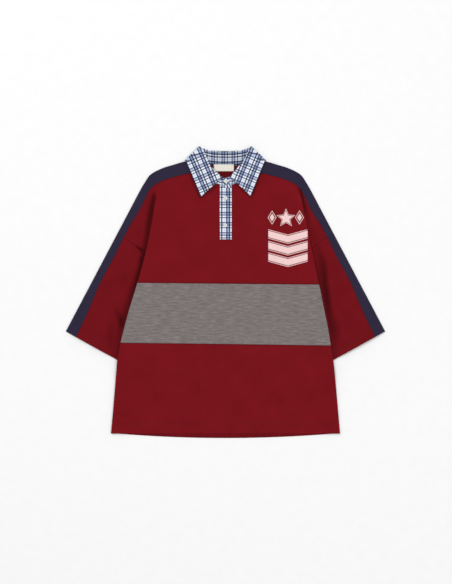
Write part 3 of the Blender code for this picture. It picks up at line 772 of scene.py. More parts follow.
def front_half(side, y, seam=None, bend=0.0, dip=0.0):
    """One half of a row of the front: points and how deep in the valley they lie."""
    name = "right" if side < 0 else "left"
    fold = float(fold_x(side, y))
    turn = fold - float(line(FOLD, "depth_" + name, y))
    end = inner_x(y)
    if seam is not None:
        width = seam[0] - end
        fold = min(fold, seam[0] - min(FOLD_INSET, FOLD_INSET_SHARE * width))
        turn = min(turn, seam[0] - min(TURN_INSET, TURN_INSET_SHARE * width))
    puff = float(curve(PUFF, "body", y))
    middle = float(ease(FOLD, "middle", y)) * PITCH + 0.3 * puff
    top = float(fold_top(y))
    path_x, path_z = fold_path(turn, fold, middle, top)
    xs, ys, zs, tones = [], [], [], []
    if seam is None:
        path_x, path_z = path_x[ARC_POINTS:], path_z[ARC_POINTS:]
    else:
        inner = np.array((path_x[0], tilted(side * path_x[0], y)))
        t = UNDER_STEPS[:-1]
        x = mix(seam[0], inner[0], t) + ARMHOLE_FRONT_BEND[0] * bend * (1 - abs(2 * t - 1))
        yy = mix(seam[1], inner[1], t) + ARMHOLE_FRONT_BEND[1] * bend * (1 - abs(2 * t - 1))
        xs.append(x)
        ys.append(yy)
        zs.append(FRONT_Z + neck_lift(x, yy) + sleeve_puff(side, x, yy) + sleeve_side_dip(x, yy))
        tones.append(dark(side, x, yy))
    share = np.clip(path_z / max(top, 0.5), 0, 1)
    yy = tilted(side * path_x, y)
    rest = sleeve_puff(side, path_x, yy) * (1 - share) if seam is not None else 0.0
    xs.append(path_x)
    ys.append(yy)
    zs.append(FRONT_Z + neck_lift(path_x, yy) + path_z + rest + dip * share)
    tones.append(dark(side, path_x, yy) * (1 - share) ** 0.7)
    start = path_x[-1]
    x = mix(start, end, TOP_STEPS)
    yy = tilted(side * x, y)
    bends = creases(BODY_CREASES, side * x, yy) * smooth((start - x) / 14.0)
    seam_far = far_from(x, yy, STRIP_SEAM) if seam is not None else np.full(len(x), 1e3)
    xs.append(x)
    ys.append(yy)
    high = body_lift(x, y, start, end) + bends + dip + seam_dip(seam_far, 0.6)
    zs.append(FRONT_Z + neck_lift(x, yy) + above(high, LOWEST))
    tones.append(leaf_shade(side, x, yy))
    points = np.stack((side * np.concatenate(xs), np.concatenate(ys), np.concatenate(zs)), 1)
    return points, np.concatenate(tones)


LEAF_SHADE = 0.5
LEAF_SHADE_WIDTH = 4.5
SEAM_SHADE = 0.55
SEAM_SHADE_WIDTH = 2.2


def leaf_shade(side, x, y):
    """The cloth is a little darker right beside the leaf that lies on it."""
    rows = LEAF_RIGHT if side < 0 else LEAF_LEFT
    outline = [spot(rows[0], "foot"), spot(rows[0], "edge"), tuple(LEAF_SIDE)]
    return LEAF_SHADE * np.exp(-(far_from(x, y, outline) / LEAF_SHADE_WIDTH) ** 2)


def front_row(y, seam=None, bend=0.0, dip=0.0):
    a, tone_a = front_half(-1, y, seam, bend, dip)
    b, tone_b = front_half(1, y, seam, bend, dip)
    return np.concatenate((a, b[::-1])), np.concatenate((tone_a, tone_b[::-1]))


FINE = (1.0, 2.2, 3.8, 6.0)
SHOULDER_STATIONS = sorted(set(np.linspace(0, 9, 82)) | {8.87, 8.93, 8.96, 8.98})


def front_dip(y, *seams):
    return float(sum(seam_dip(abs(y - seam), 0.6, 1.8) for seam in seams))


def seam_shade(tones, y, seam):
    """The row's tones, darker next to a seam across the front."""
    return np.maximum(tones, SEAM_SHADE * np.exp(-((y - seam) / SEAM_SHADE_WIDTH) ** 2))


def build_front(looks):
    rows, tones, heights = [], [], []
    for station, row in zip(SHOULDER_STATIONS, along(SHOULDER, SHOULDER_STATIONS)):
        if station < 1.0:
            continue
        seam = np.array(spot(row, "front")) - BODY_SEAM
        made = front_row(row.front_row, seam, max(0.0, station - 8), front_dip(row.front_row, BAND_TOP_Y))
        rows.append(made[0])
        tones.append(seam_shade(made[1], row.front_row, BAND_TOP_Y))
        heights.append(row.front_row)
    middle_cell = len(rows[0]) // 2 - 1
    upper = cloth("front_upper", rows, looks["red"], "red_jersey", shade=tones,
                  is_open=lambda i, j: j == middle_cell and heights[i] > SLIT_BOTTOM)
    ys = graded(BAND_TOP_Y - GAP, BAND_BOTTOM_Y, 6.0, FINE)
    made = [front_row(y, dip=front_dip(y, BAND_TOP_Y, BAND_BOTTOM_Y)) for y in ys]
    band = cloth("front_band", [m[0] for m in made], looks["marl"], "grey_marl")
    ys = graded(BAND_BOTTOM_Y - GAP, HEM_Y, 6.0, FINE)
    ys = sorted(set(ys) | {HEM_Y + HEM_DEPTH + d for d in (-8, -6, -4, -2, 0, 2, 4)}, reverse=True)
    rows, tones = [], []
    for y in ys:
        dip = front_dip(y, BAND_BOTTOM_Y) + float(hem_step(np.array(y - HEM_Y), HEM_DEPTH))
        made = front_row(y, dip=dip)
        rows.append(made[0])
        tones.append(seam_shade(made[1], y, BAND_BOTTOM_Y))
    lower = cloth("front_lower", rows, looks["red"], "red_jersey", shade=tones)
    return upper, band, lower


# ---------------------------------------------------------------- back of the body

def back_row(edge_x, edge_y, middle_y):
    t = np.linspace(-1, 1, 41)
    x = edge_x * t
    y = mix(middle_y, edge_y, t * t)
    return np.stack((x, y, BACK_Z + neck_lift(np.abs(x), y)), 1)


NECK_SHADE = 0.60
NECK_EDGE_SHADE = 0.35      # more of it beside the front's edge
NECK_EDGE_WIDTH = 8.0


def neck_shade(x, y):
    """The back's cloth is dark inside the neck, most where the front's edge is near."""
    edge = far_from(np.abs(x), y, [(row.x, row.y) for row in NECK])
    return NECK_SHADE + NECK_EDGE_SHADE * np.exp(-(edge / NECK_EDGE_WIDTH) ** 2)


def build_back(looks):
    rows = [back_row(row.back_x - BODY_SEAM[0], row.back_y - BODY_SEAM[1], row.back_row)
            for row in along(SHOULDER, np.linspace(0, 9, 46))]
    rows += [back_row(*row) for row in along(BACK_SIDE, np.linspace(0, 7, 29))]
    grid = np.array(rows)
    tone = neck_shade(grid[..., 0], grid[..., 1]) * (grid[..., 1] > 240)
    made = cloth("back", grid, looks["red"], "red_jersey", shade=tone)
    shade = made.data.attributes["valley"].data
    for vertex in made.data.vertices:   # only the inside of the neck is in the shade
        if vertex.normal.z < 0.5:
            shade[vertex.index].value = 0.0
    return made


# ---------------------------------------------------------------- strips and sleeves

def strip_section(side, row):
    """From the front seam round the outer fold to the back seam."""
    radius = PITCH / 2
    edge, front, back = (np.array(spot(row, name)) for name in ("edge", "front", "back"))

    def centre_on(seam):
        return edge + (seam - edge) / np.linalg.norm(seam - edge) * (radius + CLOTH / 2)

    centre_front, centre_back = centre_on(front), centre_on(back)
    points = []
    for t in (0.0, 0.05, 0.1, 0.17, 0.3, 0.45, 0.6, 0.75, 0.88, 1.0):
        x, y = mix(front, centre_front, t)
        high = sleeve_puff(side, np.array([x]), np.array([y]))[0]
        dip = sleeve_side_dip(np.array([x]), np.array([y]))[0]
        points.append((x, y, FRONT_Z + float(neck_lift(x, y)) + high + dip))
    top = points[-1][2]
    for k in range(1, 6):
        angle = pi / 2 - pi * k / 6
        centre = mix(centre_front, centre_back, k / 6)
        outward = (edge - centre) / np.linalg.norm(edge - centre)
        x, y = centre + outward * radius * cos(angle)
        low = BACK_Z + float(neck_lift(*centre))
        points.append((x, y, (top + low) / 2 + (top - low) / 2 * sin(angle)))
    for t in (1.0, 0.66, 0.33, 0.0):
        x, y = mix(back, centre_back, t)
        points.append((x, y, BACK_Z + float(neck_lift(x, y))))
    return [(side * x, y, z) for x, y, z in points]


def back_fold_x(y):
    ys = [row.edge_y for row in BACK_SIDE][::-1] + [BACK_FOLD_TOP.y]
    xs = [row.edge_x for row in BACK_SIDE][::-1] + [BACK_FOLD_TOP.x]
    return np.interp(y, ys, xs)


ALLOWANCE = 1.8             # the sleeve's edge goes this far under the front at the armhole
SLEEVE_STEPS = np.concatenate(([0, 0.006, 0.014, 0.025, 0.04], np.linspace(0.06, 1.0, 44)))


def sleeve_section(side, row, s, length):
    """A flat tube's section: the front layer, the turn under the arm and the back layer."""
    shift = ACROSS_SLEEVE * GAP - (FROM_ARMHOLE * ALLOWANCE if s == 0 else 0)
    front, back = np.array(spot(row, "front")) + shift, np.array(spot(row, "back")) + shift
    under = mix(UNDERARM_TOP, UNDERARM_HEM, s)
    fade = (1 - s) ** 2
    hem = float(hem_step(np.array((1 - s) * length), SLEEVE_HEM))

    def layer(start, bend, steps):
        way = 1 - abs(2 * steps - 1)
        x = mix(start[0], under[0], steps) + bend[0] * fade * way
        y = mix(start[1], under[1], steps) + bend[1] * fade * way
        return x, y, PITCH * smooth((back_fold_x(y) + BACK_FOLD_MARGIN - x) / BACK_FOLD_RAMP)

    x, y, lift = layer(front, ARMHOLE_FRONT_BEND, SLEEVE_STEPS)
    puff = sleeve_puff(side, x, y)
    z = FRONT_Z + lift + puff + sleeve_side_dip(x, y) + hem
    if s == 0:
        z = z - np.clip(puff * 0.6, 0.0, 0.9)
    tone = dark(side, x, y)
    low = BACK_Z + lift[-1]
    turn_x, turn_z = half_turn(x[-1], low, low + PITCH, -1)
    bx, by, blift = layer(back, ARMHOLE_BACK_BEND, np.linspace(0, 1, 19)[::-1])
    xs = np.concatenate((x, turn_x[::-1], bx))
    ys = np.concatenate((y, np.full(ARC_POINTS, y[-1]), by))
    zs = np.concatenate((z, turn_z[::-1], BACK_Z + blift))
    tones = np.concatenate((tone, np.zeros(ARC_POINTS + len(bx))))
    return np.stack((side * xs, ys, zs), 1), tones


SLEEVE_SHARES = np.concatenate((   # of the sleeve's length, closer at the armhole and across the hem
    [0, 0.0012, 0.005, 0.012, 0.02], np.linspace(0.035, 0.9, 40),
    (0.915, 0.924, 0.932, 0.942, 0.95, 0.96, 0.97, 0.98, 0.99, 1.0)))


def build_arms(looks):
    made = {}
    for side, name in ((-1, "right"), (1, "left")):
        rows = [strip_section(side, row) for row in along(SHOULDER, SHOULDER_STATIONS)]
        grain = strip_grain(rows)
        made["shoulder_" + name] = cloth("shoulder_" + name, rows, looks["navy"], "navy_jersey", uv=grain)
        stations = along(STRIPE, 4 * SLEEVE_SHARES)
        strip = [strip_section(side, row) for row in stations]
        shift = -ALONG_SLEEVE * GAP
        strip[0] = [(x + side * shift[0], y + shift[1], z) for x, y, z in strip[0]]
        made["stripe_" + name] = cloth("stripe_" + name, strip, looks["navy"], "navy_jersey",
                                       uv=strip_grain(strip))
        length = float(np.hypot(*np.subtract(spot(STRIPE[0], "front"), spot(STRIPE[-1], "front"))))
        tube = [sleeve_section(side, row, s, length) for row, s in zip(stations, SLEEVE_SHARES)]
        grid = np.array([t[0] for t in tube])
        turned = np.stack((grid[..., 0] * ALONG_SLEEVE[1] * -1 + grid[..., 1] * side * ALONG_SLEEVE[0],
                           grid[..., 0] * side * ALONG_SLEEVE[0] + grid[..., 1] * ALONG_SLEEVE[1]), -1)
        made["sleeve_" + name] = cloth("sleeve_" + name, grid, looks["red"], "red_jersey", uv=turned,
                                       shade=[t[1] for t in tube])
    return made


def strip_grain(rows):
    """Distances along and across a strip."""
    grid = np.asarray(rows, float)
    down = np.concatenate(([0], np.cumsum(np.linalg.norm(np.diff(grid[:, 0], axis=0), axis=1))))
    across = np.linalg.norm(np.diff(grid, axis=1), axis=2)
    across = np.concatenate((np.zeros((len(grid), 1)), np.cumsum(across, axis=1)), axis=1)
    return np.stack((across, np.repeat(down[:, None], grid.shape[1], axis=1)), -1)


# ---------------------------------------------------------------- collar

LEAF_SPREAD = (0.05, 0.12, 0.2, 0.3, 0.4, 0.5, 0.6, 0.7, 0.8, 0.9, 0.97, 1.0)
STAND_SPREAD = np.linspace(0, 1, 8)
TURN_ANGLES = (72, 54, 36, 18, 0, -18, -36, -54, -72)
LEAF_REST = CLOTH / 2 + LEAF_CLEARANCE + COLLAR_CLOTH / 2
LEAF_STATIONS = np.linspace(0, 4, 21)
ROLL_COUNT = 7
PLAID = 27.2                # the plaid's repeat along its strong lines
PLAID_CROSS = 26.3          # and along its fainter ones
PLAID_FROM_EDGE = 14.0      # from the leaf's outer edge to the first of a pair of lines
PLAID_FROM_TIP = 24.4
PLAID_TURN = 4              # how far it moves on where the leaf turns, for each radian
STAND_PLAID = -35.5         # where a pair of lines starts on the inner stand
STAND_TOP_LINE = 2.4        # how far its blue band starts above the edge under the roll
STAND_SHADE = (0.62, 0.32)  # at the stand's foot and at its top
STAND_SHADE_Y = 300.0       # it starts here
STAND_SHADE_RAMP = 30.0
BACK_LEAF_SHIFT = 1.6       # puts a dark line along the back's roll
LEAF_RISE = 2.0             # the roll stands up this much more at the neck's side
LEAF_LOFT = 1.8             # between the leaf's outer part and the body
TIP_CURL = 1.6              # the tips stand off the body
TURN_WAY = (LEAF_SIDE - LEAF_PEAK).normalized()   # down the leaf where it turns round the neck's side
TURN_OUT = Vector((-TURN_WAY.y, TURN_WAY.x))
LEAF_CREASES = table(Crease,
    (-84, 318, -78, 292, 7, 0.6),
    (-66, 268, -74, 300, 6, 0.4),
    (84, 322, 80, 290, 8, 0.6),
    (66, 272, 56, 300, 7, 0.5),
)


def roll_points(centre, out, up):
    points = [centre - up * ROLL_RADIUS + out * ROLL_INSIDE]
    for k in range(ROLL_COUNT):
        angle = -pi / 2 + pi * k / (ROLL_COUNT - 1)
        points.append(centre - out * ROLL_RADIUS * cos(angle) + up * ROLL_RADIUS * sin(angle))
    return points


def flat(vector, z):
    return Vector((vector.x, vector.y, z))


def body_under(x, y):
    """Height of the front's middle surface, or of the strip's, under the collar."""
    return FRONT_Z + float(neck_lift(abs(x), y))


def leaf_front(side, row, s, table_tip):
    roll, edge = Vector(spot(row, "roll")), Vector(spot(row, "edge"))
    out = (edge - roll).normalized()
    start = roll + out * (ROLL_RADIUS + COLLAR_CLOTH / 2)
    high = row.roll_z + LEAF_RISE * smooth(s / 1.2)
    centre = flat(start, high - ROLL_RADIUS)
    points = roll_points(centre, flat(out, 0.0), Vector((0, 0, 1)))
    for t in LEAF_SPREAD:
        place = mix(start, edge, t)
        tip = float(np.exp(-((place - Vector(table_tip)).length / 30.0) ** 2))
        rest = body_under(place.x, place.y) + LEAF_REST + LEAF_LOFT * smooth(t / 0.6) + TIP_CURL * tip
        shape = float(1 - smooth(t * LEAF_SLOPE))
        bend = float(creases(LEAF_CREASES, np.array(side * place.x), np.array(place.y)))
        points.append(flat(place, rest + max(high - rest, 0.0) * shape + max(bend, -0.3)))
    return points, centre + flat(out, 0.0) * STAND_BELOW_ROLL - Vector((0, 0, ROLL_RADIUS))


def leaf_turn(angle):
    up = Vector((TURN_OUT.x * cos(angle), TURN_OUT.y * cos(angle), sin(angle)))
    start = LEAF_PEAK + TURN_WAY * (ROLL_RADIUS + COLLAR_CLOTH / 2)
    lift = LEAF_RISE / 2 * float(smooth((angle + pi / 2) / pi))

    def at(place, radius):
        base = place - TURN_OUT * (radius + COLLAR_CLOTH / 2)
        return flat(base, COLLAR_CLOTH / 2 + radius + lift) + up * (radius + lift * sin(angle))

    centre = at(start, TURN_ROLL_RADIUS) - up * ROLL_RADIUS
    points = roll_points(centre, flat(TURN_WAY, 0.0), up)
    for t in LEAF_SPREAD:
        points.append(at(mix(start, LEAF_SIDE, t), mix(TURN_ROLL_RADIUS, TURN_EDGE_RADIUS, t)))
    return points, centre + flat(TURN_WAY, 0.0) * STAND_BELOW_ROLL - up * ROLL_RADIUS


def leaf_back(row):
    roll, edge = Vector(spot(row, "roll")), Vector(spot(row, "edge"))
    out = (edge - roll).normalized()
    start = roll + out * (ROLL_RADIUS + COLLAR_CLOTH / 2)
    centre = flat(start, COLLAR_CLOTH / 2 + ROLL_RADIUS)
    points = roll_points(centre, flat(out, 0.0), Vector((0, 0, -1)))
    points += [flat(mix(start, edge, t), COLLAR_CLOTH / 2) for t in LEAF_SPREAD]
    return points, centre + flat(out, 0.0) * STAND_BELOW_ROLL + Vector((0, 0, ROLL_RADIUS))


def stand_section(foot, top):
    return [foot + (top - foot) * float(t) for t in STAND_SPREAD]


def collar_half(side, rows, ends):
    """Stations of leaf and stand, from the front end to the middle of the back, with the leaf's grain."""
    leaf, grain, stand = [], [], []
    for end in along(ends, np.linspace(0, len(ends) - 1, 4 * len(ends))):
        stand.append(stand_section(Vector((end.foot_x, end.foot_y, end.foot_z)),
                                   Vector((end.top_x, end.top_y, end.top_z))))
    tip = Vector(spot(rows[0], "edge"))
    way = (LEAF_SIDE - tip).normalized()
    into = Vector((-way.y, way.x))

    def grain_at(points, shift=0.0):
        return [((p.xy - tip).dot(into) - PLAID_FROM_EDGE, PLAID_FROM_TIP - (p.xy - tip).dot(way) + shift)
                for p in points]

    for s, row in zip(LEAF_STATIONS, along(rows, LEAF_STATIONS)):
        points, top = leaf_front(side, row, s, tip)
        leaf.append(points)
        grain.append(grain_at(points))
        foot = Vector((row.foot_x, row.foot_y, body_under(row.foot_x, row.foot_y)))
        stand.append(stand_section(foot, top))
    back_foot_z = BACK_Z + float(neck_lift(0.0, BACK_NECK_Y))
    for degrees in TURN_ANGLES:
        angle = radians(degrees)
        points, top = leaf_turn(angle)
        leaf.append(points)
        grain.append(grain_at(points, angle * PLAID_TURN))
        base = flat(STAND_SIDE_FOOT - TURN_OUT * STAND_FOOT_RADIUS, back_foot_z + STAND_FOOT_RADIUS)
        spoke = Vector((TURN_OUT.x * cos(angle), TURN_OUT.y * cos(angle), sin(angle)))
        stand.append(stand_section(base + spoke * STAND_FOOT_RADIUS, top))
    for row in along(LEAF_BACK, np.linspace(0, 3, 16)):
        points, top = leaf_back(row)
        leaf.append(points)
        grain.append([((Vector(spot(row, "edge")) - p.xy).length - PLAID_FROM_EDGE + BACK_LEAF_SHIFT,
                       side * p.x - STAND_PLAID) for p in points])
        foot_y = BACK_NECK_Y + STAND_SEAM + BACK_NECK_RISE * (row.foot_x / NECK_SIDE_X) ** 2
        stand.append(stand_section(Vector((row.foot_x, foot_y, back_foot_z)), top))
    turn = Vector((side, 1, 1))
    return ([[tuple(p * turn) for p in row] for row in leaf], grain,
            [[tuple(p * turn) for p in row] for row in stand])


def build_collar(looks):
    leaf_r, grain_r, stand_r = collar_half(-1, LEAF_RIGHT, END_RIGHT)
    leaf_l, grain_l, stand_l = collar_half(1, LEAF_LEFT, END_LEFT)
    leaf = cloth("collar", leaf_r + leaf_l[-2::-1], looks["plaid"], "plaid_cotton", COLLAR_CLOTH,
                 uv=grain_r + grain_l[-2::-1])
    rows = np.array(stand_r + stand_l[-2::-1])
    down = np.linalg.norm(rows - rows[:, -1:], axis=2)
    uv = np.stack((down + STAND_TOP_LINE, rows[..., 0] - STAND_PLAID), -1)
    inside = smooth((rows[..., 1] - STAND_SHADE_Y) / STAND_SHADE_RAMP)
    tone = inside * mix(*STAND_SHADE, np.linspace(0, 1, rows.shape[1])[None, :])
    stand = cloth("collar_stand", rows, looks["plaid"], "plaid_cotton", SHELL, uv=uv, shade=tone)
    return leaf, stand


# ---------------------------------------------------------------- placket, label

PLACKET_PLAID = (3.2, 260.2)
PLACKET_SHELL = 1.4
PLACKET_STITCH = 2.6        # from its edges to its stitching
PLACKET_EDGE = np.array((0, 0.8, 1.7, PLACKET_STITCH, 3.5, 5))   # closer points next to an edge
PLACKET_Z = CLOTH / 2 + GAP + COLLAR_CLOTH / 2


def placket_z(x, y):
    """Height of the placket's middle surface, with its stitched edges held down."""
    edge = min(x - PLACKET_LEFT, PLACKET_RIGHT - x, y - PLACKET_BOTTOM)
    crown = 0.7 * float(smooth(edge / 5.0)) - 0.25 * float(np.exp(-((edge - PLACKET_STITCH) / 0.9) ** 2))
    waves = 0.25 * sin(y / 9.0 + 0.4) + 0.15 * sin(y / 4.1 + x / 7.0)
    return body_under(x, y) + PLACKET_Z + crown + waves * float(smooth(edge / 4.0)) + 0.1


def build_placket(looks):
    ys = np.linspace(PLACKET_TOP, PLACKET_BOTTOM, 70)
    xs = np.concatenate((PLACKET_LEFT + PLACKET_EDGE, np.linspace(-7, 9, 9),
                         PLACKET_RIGHT - PLACKET_EDGE[::-1]))
    rows = [[(x + 0.35 * sin(y / 19.0), y, placket_z(x, y)) for x in xs] for y in ys]
    grid = np.array(rows)
    uv = np.stack((grid[..., 0] - PLACKET_PLAID[0], PLACKET_PLAID[1] - grid[..., 1]), -1)
    return cloth("placket", grid, looks["plaid"], "plaid_cotton", PLACKET_SHELL, uv=uv)


LABEL_SIZE = (52.0, 18.0)
LABEL_SHELL = 0.8
LABEL_STITCH = 1.4          # from its edges to its stitching
LABEL_MIDDLE = (-4.2, 323.2)
LABEL_Z = COLLAR_CLOTH / 2 + 2 * ROLL_RADIUS + CLOTH / 2 + GAP + 0.5


def build_label(looks):
    rows = []
    for v in np.linspace(0.5, -0.5, 9):
        row = []
        for u in np.linspace(-0.5, 0.5, 21):
            z = LABEL_Z + 0.35 * cos(pi * u) + 0.12 * sin(9 * u + 2 * v)
            row.append((LABEL_MIDDLE[0] + u * LABEL_SIZE[0], LABEL_MIDDLE[1] + v * LABEL_SIZE[1], z))
        rows.append(row)
    return cloth("neck_label", rows, looks["tape"], "cream_tape", LABEL_SHELL)


# ---------------------------------------------------------------- buttons, thread and print

def top_of(made):
    """A reader of the height of these pieces' upper face, in millimetres."""
    trees = []
    for one in made:
        places = [vertex.co.copy() for vertex in one.data.vertices]
        trees.append(BVHTree.FromPolygons(places, [tuple(face.vertices) for face in one.data.polygons]))

    def height(x, y):
        start = Vector((x * MM, y * MM, 0.1))
        hits = [tree.ray_cast(start, Vector((0, 0, -1)))[0] for tree in trees]
        return max([hit.z / MM for hit in hits if hit is not None], default=0.0)

    return height


STRAND_SIDES = 6


def strand(points, radius):
    """A round thread through these points, narrow at its ends."""
    verts = []
    last = len(points) - 1
    for i, point in enumerate(points):
        way = (points[min(i + 1, last)] - points[max(i - 1, 0)]).normalized()
        out = way.cross(Vector((0, 0, 1))).normalized()
        up = out.cross(way)
        size = radius * (0.45 if i in (0, last) else 1.0)
        for k in range(STRAND_SIDES):
            angle = 2 * pi * k / STRAND_SIDES
            verts.append(point + out * size * cos(angle) + up * size * sin(angle))
    faces = quads(last + 1, STRAND_SIDES, wrap=True)
    faces.append(tuple(range(STRAND_SIDES))[::-1])
    faces.append(tuple(range(last * STRAND_SIDES, (last + 1) * STRAND_SIDES)))
    return verts, faces


def joined(parts):
    verts, faces = [], []
    for more_verts, more_faces in parts:
        base = len(verts)
        verts += more_verts
        faces += [tuple(base + i for i in face) for face in more_faces]
    return verts, faces


def spaced(path, step):
    """Places along a line, one step apart."""
    points = np.array(path, float)
    lengths = np.concatenate(([0], np.cumsum(np.hypot(*np.diff(points, axis=0).T))))
    at = np.arange(step / 2, lengths[-1], step)
    return np.stack((np.interp(at, lengths, points[:, 0]), np.interp(at, lengths, points[:, 1])), 1)


Stitch = namedtuple("Stitch", "length gap radius")
JERSEY_STITCH = Stitch(3.0, 1.3, 0.26)
COTTON_STITCH = Stitch(2.4, 1.0, 0.22)
TAPE_STITCH = Stitch(1.8, 0.9, 0.2)
STITCH_RISE = ((-1, -0.12), (-0.6, 0.16), (0, 0.22), (0.6, 0.16), (1, -0.12))


def stitches(name, paths, height, look, slot, kind=JERSEY_STITCH):
    """Rows of stitches that lie on the cloth, each one a short thread that dips in at its ends."""
    parts = []
    for path in paths:
        places = spaced(path, (kind.length + kind.gap) / 2)
        for i in range(0, len(places) - 2, 2):
            a, c = places[i], places[i + 1]
            way = (c - a) / max(np.linalg.norm(c - a), 1e-6) * kind.length / 2
            middle = (a + c) / 2
            row, highs = [], []
            for share, rise in STITCH_RISE:
                x, y = middle + way * share
                highs.append(height(x, y))
                row.append(Vector((x, y, highs[-1] + rise)))
            if min(highs) > 0.0:
                parts.append(strand(row, kind.radius))
    verts, faces = joined(parts)
    return piece(name, verts, faces, look, slot)


BUTTONS = [(1.3, 288.6), (0.0, 244.6), (-0.8, 173.8)]
BUTTON_PROFILE = [  # radius and height, from the middle of the underside round to the dish
    (0.0, 0.0), (4.2, 0.0), (4.9, 0.3), (5.2, 0.8), (5.2, 1.3), (5.0, 1.8), (4.6, 2.1), (4.2, 2.18),
    (3.8, 2.05), (3.5, 1.7), (3.2, 1.45), (2.6, 1.35), (0.0, 1.3)]
BUTTON_HOLE = 0.62
BUTTON_HOLE_OFFSET = 1.55
BUTTON_SIDES = 48
PIN_SIDES = 16
PIN_LOW = -1.0
PIN_HIGH = 3.0
BUTTON_THREAD = 0.36
HOLE_THREAD = 0.26
HOLE_PITCH = 0.55


def turned(profile, sides):
    """A solid turned from a profile that starts and ends on its axis."""
    verts = [(0.0, 0.0, profile[0][1])]
    for r, z in profile[1:-1]:
        verts += [(r * cos(2 * pi * k / sides), r * sin(2 * pi * k / sides), z) for k in range(sides)]
    verts.append((0.0, 0.0, profile[-1][1]))
    last = len(verts) - 1
    rings = len(profile) - 2
    faces = [(0, 1 + (k + 1) % sides, 1 + k) for k in range(sides)]
    faces += [tuple(1 + i for i in face) for face in quads(rings, sides, wrap=True)]
    base = 1 + (rings - 1) * sides
    faces += [(base + k, base + (k + 1) % sides, last) for k in range(sides)]
    return verts, faces


def button_holes():
    """Four upright pins that drill a button."""
    parts = []
    for k in range(4):
        angle = pi / 4 + k * pi / 2
        x, y = BUTTON_HOLE_OFFSET * cos(angle), BUTTON_HOLE_OFFSET * sin(angle)
        turns = [2 * pi * i / PIN_SIDES for i in range(PIN_SIDES)]
        verts = [(x + BUTTON_HOLE * cos(a), y + BUTTON_HOLE * sin(a), z)
                 for z in (PIN_LOW, PIN_HIGH) for a in turns]
        faces = quads(2, PIN_SIDES, wrap=True)
        faces += [tuple(range(PIN_SIDES))[::-1], tuple(range(PIN_SIDES, 2 * PIN_SIDES))]
        parts.append((verts, faces))
    return joined(parts)


def build_buttons(looks, height):
    for i, (x, y) in enumerate(BUTTONS):
        rest = max(height(x + dx, y + dy) for dx in (-3, 0, 3) for dy in (-3, 0, 3)) + 0.2
        verts, faces = turned(BUTTON_PROFILE, BUTTON_SIDES)
        button = piece(f"button_{i + 1}_pearl", np.array(verts) + (x, y, rest), faces, looks["pearl"],
                       "pearl", (f"button_{i + 1}",))
        pin_verts, pin_faces = button_holes()
        pins = placed("pins", mesh_of("pins", np.array(pin_verts) + (x, y, rest), pin_faces))
        drill = button.modifiers.new("Holes", "BOOLEAN")
        drill.operation = "DIFFERENCE"
        drill.solver = "EXACT"
        drill.object = pins
        apply_modifiers(button)
        bpy.data.objects.remove(pins)
        button.data.shade_smooth()
        threads = []
        for turn in (pi / 4, 3 * pi / 4):
            way = Vector((cos(turn), sin(turn), 0)) * BUTTON_HOLE_OFFSET
            middle = Vector((x, y, rest + 1.3))
            bump_up = Vector((0, 0, 0.35 if turn < pi / 2 else 0.7))
            threads.append(strand([middle - way - Vector((0, 0, 0.8)), middle - way + bump_up * 0.4,
                                   middle + bump_up, middle + way + bump_up * 0.4,
                                   middle + way - Vector((0, 0, 0.8))], BUTTON_THREAD))
        verts, faces = joined(threads)
        piece(f"button_thread_{i + 1}", verts, faces, looks["white_thread"], "plaid_cotton")


HOLE_LENGTH = 13.6
HOLE_WIDTH = 2.4


def build_buttonholes(looks, height):
    """Two close rows of short stitches and a bar at each end, round each button's slit."""
    parts = []
    for x, y in BUTTONS[1:]:
        half = HOLE_LENGTH / 2
        rows = [(x + side * HOLE_WIDTH / 4, y + v)
                for side in (-1, 1) for v in np.arange(-half, half, HOLE_PITCH)]
        rows += [(x, y + end * half + v) for end in (-1, 1) for v in (-0.3, 0.3)]
        for cx, cy in rows:
            wide = HOLE_WIDTH / 4 if cx != x else HOLE_WIDTH / 2
            line_of = [Vector((cx + wide * t, cy, height(cx, cy) + rise)) for t, rise in
                       ((-1, -0.05), (-0.5, 0.18), (0.5, 0.18), (1, -0.05))]
            parts.append(strand(line_of, HOLE_THREAD))
    verts, faces = joined(parts)
    return piece("buttonholes", verts, faces, looks["white_thread"], "plaid_cotton")


HEM_ROW_END = 285.0
SLEEVE_ROW_START = (6.0, 3.4)   # from the underarm fold to the first stitch of the sleeve's hem
ROW_TO_SEAM = 1.5           # a row stops this far from the stripe's seam
ROW_TO_EDGE = 3.0           # and this far from its outer fold
PLACKET_ROW_TOP = 268.0
PLACKET_BAR = 14            # from the box's lower row to the bar above it
LEAF_STITCH = 5.0           # from the leaf's edges to its stitching
LEAF_FRONT_ROW = 62.0
LEAF_OUTER_ROW = 84.0


